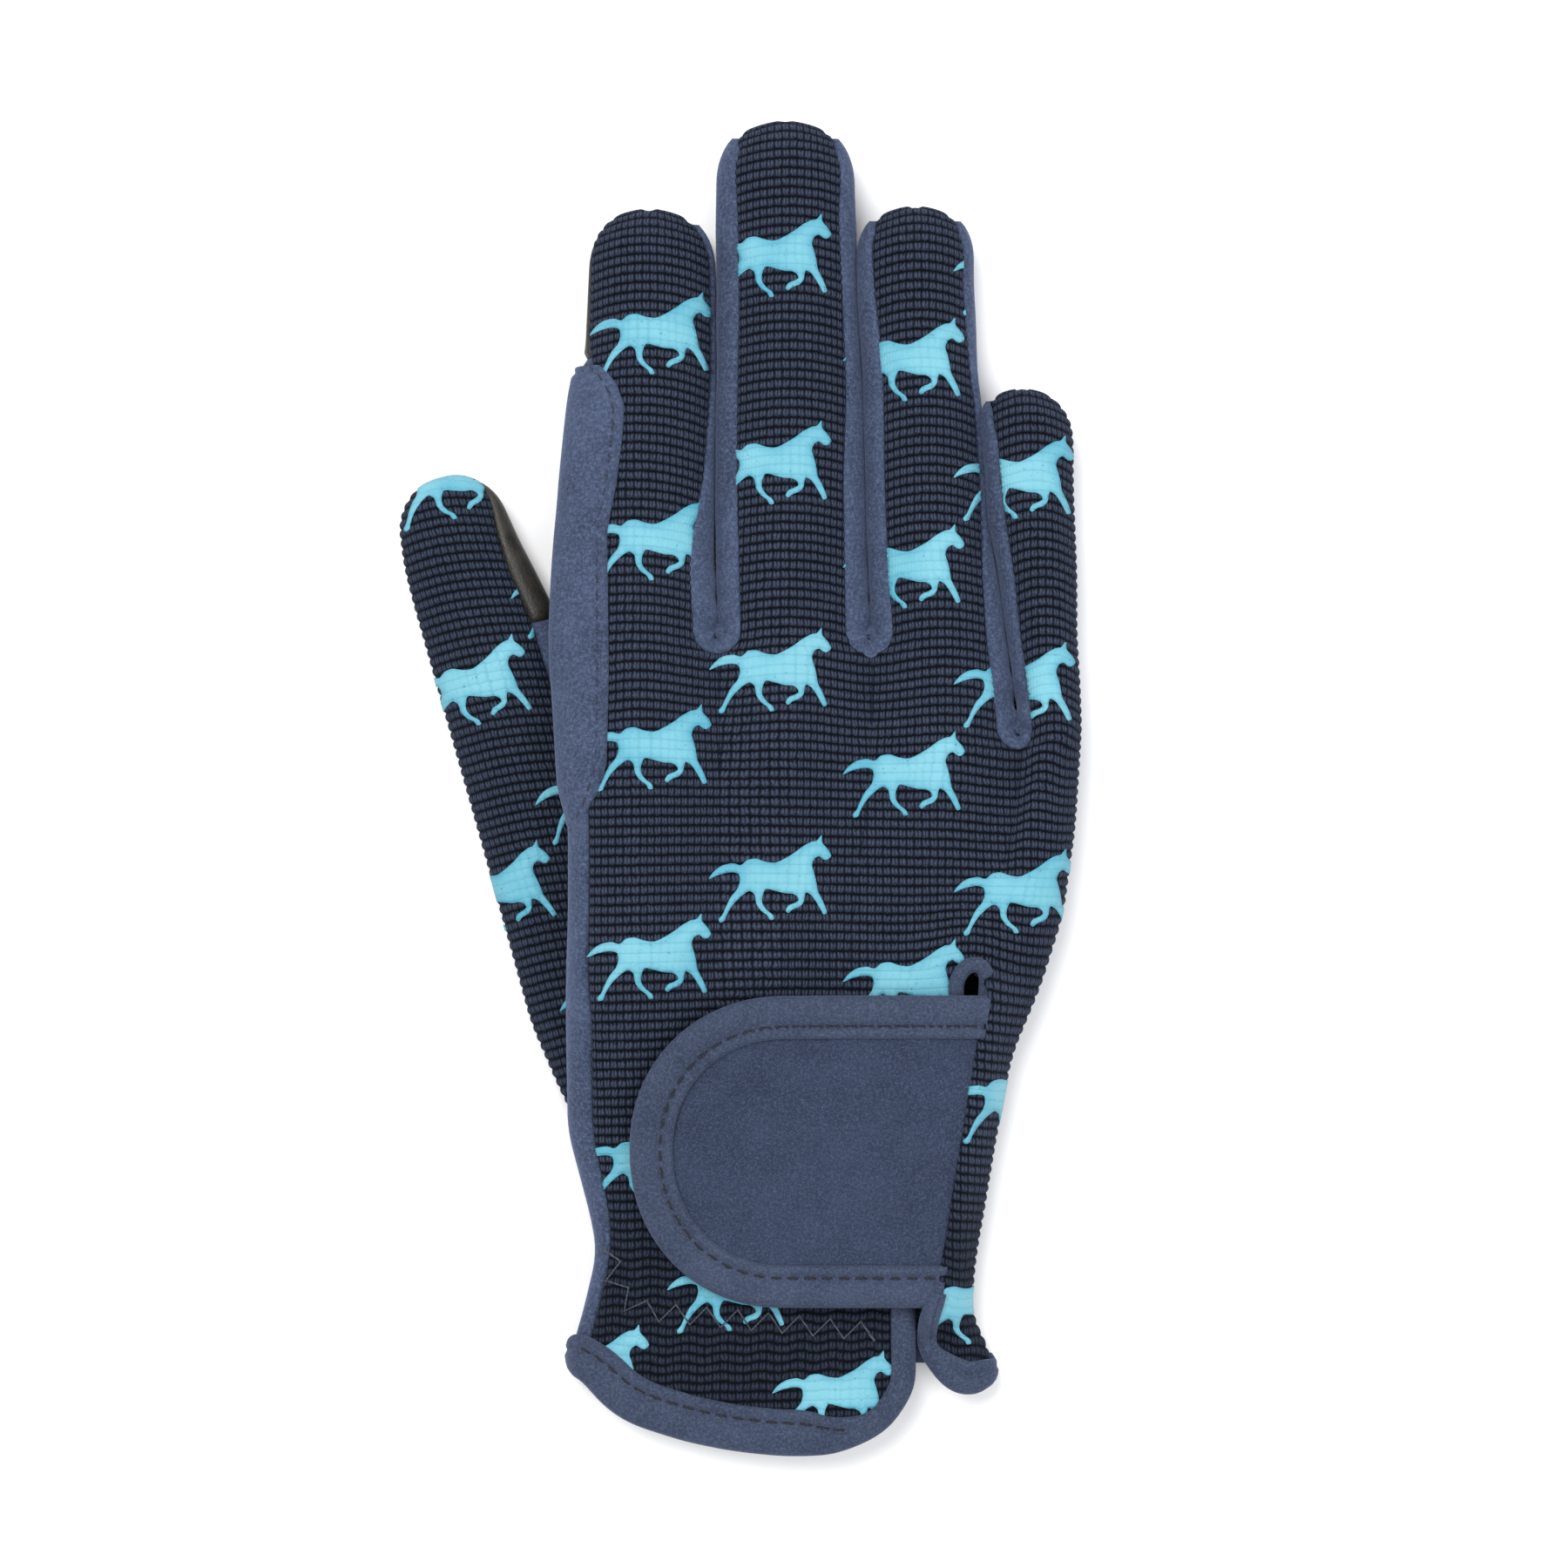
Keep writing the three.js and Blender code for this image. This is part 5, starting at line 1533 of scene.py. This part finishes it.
narrow, narrow_ups = risen(resample(
    side_path(3, 0, np.linspace(strap_low + 2.5, hem_top, 10))
    + hem_path([3])
    + wrap_path(3, 1.0, hem_right + np.linspace(0, 1.2, 5), np.linspace(-14, -34, 5)), 0.5, 12))
narrow_run = path_lengths(narrow)
narrow_width = (1.5 + 2.1 * smooth((narrow_run - 10) / 7)
                - 1.3 * smooth((narrow_run - narrow_run[-1] + 8) / 6))
settle(sweep("narrow_flap_band", narrow, narrow_ups, narrow_width, BAND), "suede",
       "narrow_flap_binding")

stitch_run("cuff_stitches", seam_on(broad, cuff_ups, cuff_width, 3.0), THREAD)
stitch_run("narrow_flap_stitches", seam_on(narrow, narrow_ups, narrow_width, 2.3),
           SOFT_THREAD, radius=0.18)


def loop_path():
    """The rolled binding round the slit's top, which rises a little and leans over."""
    foot = SLIT_TOP[0] * HAND_WIDTH
    line = []
    for angle in np.linspace(-62, 242, 61):
        a = math.radians(angle)
        low = min(0.0, math.sin(a))
        x = foot + 0.1 + (SLIT_RADIUS - 0.15) * math.cos(a) + 0.5 * max(math.sin(a), 0)
        y = slit_centre + 0.2 + (SLIT_RADIUS + 0.7) * math.sin(a) + low * 4.5
        line.append([x, y, top_at(x, y) + 0.55 + 0.6 * max(math.sin(a), 0)])
    return resample(line, 0.45)


LOOP_COLUMNS = 16
LOOP_HALF_WIDTH = 1.15
LOOP_HALF_HEIGHT = 1.1


def loop_band():
    points = []
    path = loop_path()
    for p, t in zip(path, directions(path)):
        side = unit(np.cross([0, 0, 1.0], t))
        up = np.cross(t, side)
        for a in np.linspace(0, 2 * math.pi, LOOP_COLUMNS + 1)[:-1]:
            points.append(p + side * LOOP_HALF_WIDTH * math.cos(a)
                          + up * LOOP_HALF_HEIGHT * math.sin(a))
    return tube("slit_loop_band", points, LOOP_COLUMNS, BAND)


settle(loop_band(), "suede", "slit_loop_binding")


def zigzag():
    """Elastic sewn across the inside of the wrist shows as a grey zigzag."""
    turns = [(7.7, 31.2), (8.2, 27.5), (9.3, 24.4), (11.2, 22.4), (14.5, 21.6), (51.8, 18.2)]
    pitch, reach = 2.3, 1.4
    line = resample([(x, y, 0) for x, y in turns], 0.4)
    lengths = path_lengths(line)
    at = np.arange(int(lengths[-1] / pitch)) * pitch
    along = unit(read_path(at, lengths, np.gradient(line, axis=0)))
    out = read_path(at, lengths, line)
    swing = np.where(np.arange(len(at)) % 2, reach, -reach)[:, None]
    out += np.stack([-along[:, 1], along[:, 0], np.zeros(len(at))], 1) * swing
    for q in out:
        q[2] = top_at(q[0], q[1]) + rumple(q[0], q[1]) + 0.28 * gathers(q[0], q[1]) + 0.3
    return out


settle(grow(line_object(zigzag()), LAID_THREAD, {
    "Thread Radius": 0.19 * MM, "Material": GREY_THREAD}, "wrist_elastic_zigzag"), "knit")


# Print: a running horse, drawn in a box 100 wide, repeated in a plain half drop

HORSE = [
    (96.6, 48.6), (99.6, 51.6), (97, 56.4), (92.4, 61.4), (91.8, 67), (88, 63), (83.2, 62),
    (76.4, 58.6), (70.4, 54.4), (63, 50.2), (54.6, 46.6), (46.6, 47.2), (38.6, 49.6),
    (31.6, 48.6), (26.4, 44.8), (20, 46.2), (11.5, 44.6), (5, 40.4), (0.6, 34.6), (8, 37.4),
    (14.6, 39), (20, 39.4), (24.6, 38), (25.6, 33), (23.6, 27), (18.6, 21.4), (14.8, 14.6),
    (11.8, 8.2), (8.6, 4.6), (9.6, 2), (13.2, 3.2), (14.8, 7.2), (18.4, 13.2), (22.6, 18),
    (28, 22.6), (33.4, 25.4), (37.6, 22.4), (38.8, 16), (42.6, 10.6), (47.6, 7.2),
    (49.8, 3.8), (53.2, 4.2), (52, 7.6), (47.2, 11.2), (43.8, 15.8), (43.6, 21),
    (46.6, 26.8), (54, 25.4), (61.6, 23.6), (68.2, 23.2), (72, 21), (73, 18.2),
    (69.6, 16.2), (65, 14.4), (62.6, 10.6), (64.8, 8.8), (68.4, 11.4), (74, 13.4),
    (77.2, 17), (78, 21.4), (79.4, 24), (83.6, 21.8), (87.6, 16.6), (90.8, 11.4),
    (93.2, 7.6), (96.2, 8.8), (95, 12.6), (92.2, 18.8), (88.8, 25), (87.6, 31.4),
    (86, 38), (84, 44.4), (86, 49.4), (89.8, 51.2), (93.4, 48.8),
]
HORSE_WIDTH = 18.2
HORSE_STRETCH = 1.08
PRINT_GRAIN = 0.45
PRINT_LIFT = 0.2
PRINT_WALL = 0.15
LEAST_COVER = 0.12  # how far a surface has to face up to carry print


def rounded(outline, steps, pull):
    p = np.array(outline, float)
    out = []
    for k in range(len(p)):
        a, b, c, d = p[k - 1], p[k], p[(k + 1) % len(p)], p[(k + 2) % len(p)]
        for t in np.arange(steps) / steps:
            h1, h2 = 2 * t**3 - 3 * t**2 + 1, t**3 - 2 * t**2 + t
            h3, h4 = 3 * t**2 - 2 * t**3, t**3 - t**2
            out.append(h1 * b + h2 * (c - a) * pull + h3 * c + h4 * (d - b) * pull)
    return np.array(out)


def horse_motif():
    """The flat motif, centred on its own middle, cut into small even cells."""
    outline = (rounded(HORSE, 4, 0.4) - np.array([50.0, 34.0])) * HORSE_WIDTH / 100
    outline[:, 1] *= HORSE_STRETCH
    low, high = outline.min(0), outline.max(0)
    a, b = outline, np.roll(outline, -1, 0)
    rise = np.where(b[:, 1] == a[:, 1], 1, b[:, 1] - a[:, 1])
    grid = []
    for row, y in enumerate(np.arange(low[1], high[1], PRINT_GRAIN * 0.87), 1):
        for x in np.arange(low[0] + (row % 2) * PRINT_GRAIN / 2, high[0], PRINT_GRAIN):
            crosses = (a[:, 1] > y) != (b[:, 1] > y)
            at = a[:, 0] + (y - a[:, 1]) * (b[:, 0] - a[:, 0]) / rise
            near = np.min(np.hypot(a[:, 0] - x, a[:, 1] - y))
            if np.sum(crosses & (x < at)) % 2 and near > PRINT_GRAIN * 0.45:
                grid.append((x, y))
    points = [Vector(p) for p in [*outline, *grid]]
    verts, _, faces, *_ = delaunay_2d_cdt(
        points, [], [list(range(len(outline)))], 1, 1e-5)
    me = bpy.data.meshes.new("horse_motif")
    me.from_pydata([(v.x * MM, v.y * MM, 0) for v in verts], [], [list(f) for f in faces])
    obj = link("horse_motif", me)
    point_attribute(obj, "middle", [
        min(np.min(np.hypot(*(outline - np.array(v)).T)) / 1.3, 1.0) for v in verts])
    return obj


PIXEL = 0.13  # millimetres of the glove for each pixel of the picture
PICTURE_SIZE = 1800
PICTURE_ORIGIN = (641, 1670)


def photo_place(px, py):
    """From the picture's pixels to the tables' frame."""
    return (px - PICTURE_ORIGIN[0]) * PIXEL, (PICTURE_ORIGIN[1] - py) * PIXEL


def half_drop(tops, count, lean_from, lean):
    """Centres of a half-drop repeat: columns that start at tops, each one drop apart, and
    lean sideways below a height."""
    return [(x - lean * max(0.0, lean_from - (y - k * DROP)), y - k * DROP, 0.0)
            for x, y in tops for k in range(count)]


def motif_copies(spots, lean):
    out = grow(mesh_object("print_layout", spots, []), PRINT_REPEAT, {
        "Motif": motif, "Lean": math.radians(lean), "Material": PRINT}, "copies")
    me = out.data
    at = np.zeros(len(me.vertices) * 3)
    me.vertices.foreach_get("co", at)
    at = at.reshape(-1, 3) / MM + np.array([*ORIGIN, 0])
    faces = [list(p.vertices) for p in me.polygons]
    middle = np.zeros(len(at))
    me.attributes["middle"].data.foreach_get("value", middle)
    bpy.data.objects.remove(out)
    return [(x, y) for x, y, _ in at], list(middle), faces


def drape(name, base, spots, lean):
    """Lays flat motifs on a panel from above, cut off cleanly where the panel ends."""
    points, quads, values = base
    tree = BVHTree.FromPolygons(points.tolist(), quads.tolist())
    at, middle, faces = motif_copies(spots, lean)

    def hit(x, y):
        place, normal, face, _ = tree.ray_cast(Vector((x, y, 60)), Vector((0, 0, -1)))
        covered = place is not None and normal.z > LEAST_COVER
        return (place, normal, face) if covered else None

    def between(a, b, t):
        return lerp(at[a][0], at[b][0], t), lerp(at[a][1], at[b][1], t)

    hits = [hit(*p) for p in at]
    cuts = {}

    def cut(a, b):
        """The last covered place on the way from point a to point b."""
        if (a, b) not in cuts:
            low, high = 0.0, 1.0
            for _ in range(9):
                t = (low + high) / 2
                low, high = (t, high) if hit(*between(a, b, t)) else (low, t)
            cuts[a, b] = len(at)
            at.append(between(a, b, low))
            middle.append(lerp(middle[a], middle[b], low))
            hits.append(hit(*at[-1]) or hits[a])
        return cuts[a, b]

    kept = []
    for face in faces:
        shown = []
        for a, b in zip(face, face[1:] + face[:1]):
            if hits[a]:
                shown.append(a)
            if bool(hits[a]) != bool(hits[b]):
                shown.append(cut(a, b) if hits[a] else cut(b, a))
        if len(shown) > 2:
            kept.append(shown)
    used = sorted({k for f in kept for k in f})
    index = {k: n for n, k in enumerate(used)}
    n = len(used)
    spot = np.array([(*at[k], hits[k][0].z) for k in used])
    normal = np.array([hits[k][1] for k in used])
    rib, wale = ([values[key][quads[hits[k][2]]].mean() for k in used] * 2
                 for key in ("rib", "wale"))
    kept = [[index[k] for k in f] for f in kept]
    edges = {(a, b) for f in kept for a, b in zip(f, f[1:] + f[:1])}
    sides = [[b, a, a + n, b + n] for a, b in sorted(edges) if (b, a) not in edges]
    every = kept + [[k + n for k in f[::-1]] for f in kept] + sides
    both = np.concatenate([spot + normal * PRINT_LIFT,
                           spot + normal * (PRINT_LIFT - PRINT_WALL)])
    obj = mesh_object(name, both, every, PRINT)
    cloth_map(obj, wale, rib)
    point_attribute(obj, "middle", [middle[k] for k in used] * 2)
    settle(obj, "knit")


motif = horse_motif()
DROP = 236 * PIXEL
hand_tops = [photo_place(*p) for p in ((748, 388), (884, 300), (1036, 418), (1162, 316))]
thumb_tops = [photo_place(*p) for p in ((508, 552), (636, 676))]
drape("horse_print_back", back_base, half_drop(hand_tops, 7, 48.0, 0.27), 0.0)
drape("horse_print_thumb", thumb_base, half_drop(thumb_tops, 3, 150.0, -0.12), 11.0)
bpy.data.objects.remove(motif)


# Floor, lights and camera

FLOOR_HALF = 3.0
CAMERA_LENS = 100.0
SENSOR = 36.0
VIEW_WIDTH = PICTURE_SIZE * PIXEL * MM
VIEW_PLANE = 0.007


def floor_material():
    m, w, shader, place = new_material("pale floor", 0.9, 0.0, None, 0.1)
    tone = w.ranged(w.noise(place, 3.0), 0.3, 0.7, 0.0, 1.0)
    w.fill(shader, {"Base Color": w.blend(tone, srgb(247, 248, 250), srgb(250, 250, 251))})
    return m


def area_light(name, place, size, power, colour):
    data = bpy.data.lights.new(name, "AREA")
    data.shape = "DISK"
    data.size = size
    data.energy = power
    data.color = colour
    lamp = link(name, data)
    lamp.location = place
    lamp.rotation_euler = (-Vector(place)).to_track_quat("-Z", "Y").to_euler()


floor_mesh = bpy.data.meshes.new("floor")
floor_mesh.from_pydata(
    [(x * FLOOR_HALF, y * FLOOR_HALF, 0) for x, y in ((-1, -1), (1, -1), (1, 1), (-1, 1))],
    [], [(0, 1, 2, 3)])
floor_mesh.materials.append(floor_material())
floor = link("floor", floor_mesh)

area_light("key_light", (-0.35, 0.55, 1.3), 0.8, 17.0, (1.0, 0.99, 0.97))
area_light("fill_light", (0.7, -0.4, 1.2), 1.2, 9.0, (0.95, 0.97, 1.0))
world = bpy.data.worlds.new("studio")
world.use_nodes = True
Wiring(world.node_tree).fill(world.node_tree.nodes["Background"], {0: (1, 1, 1, 1), 1: 0.68})
bpy.context.scene.world = world
bpy.context.scene.view_settings.view_transform = "Standard"

lens = bpy.data.cameras.new("camera")
lens.lens = CAMERA_LENS
lens.sensor_width = SENSOR
camera = link("camera", lens)
centre = to_row([*photo_place(PICTURE_SIZE / 2, PICTURE_SIZE / 2), 0])[0]
camera.location = (centre[0], centre[1], VIEW_PLANE + CAMERA_LENS * VIEW_WIDTH / SENSOR)
bpy.context.scene.camera = camera
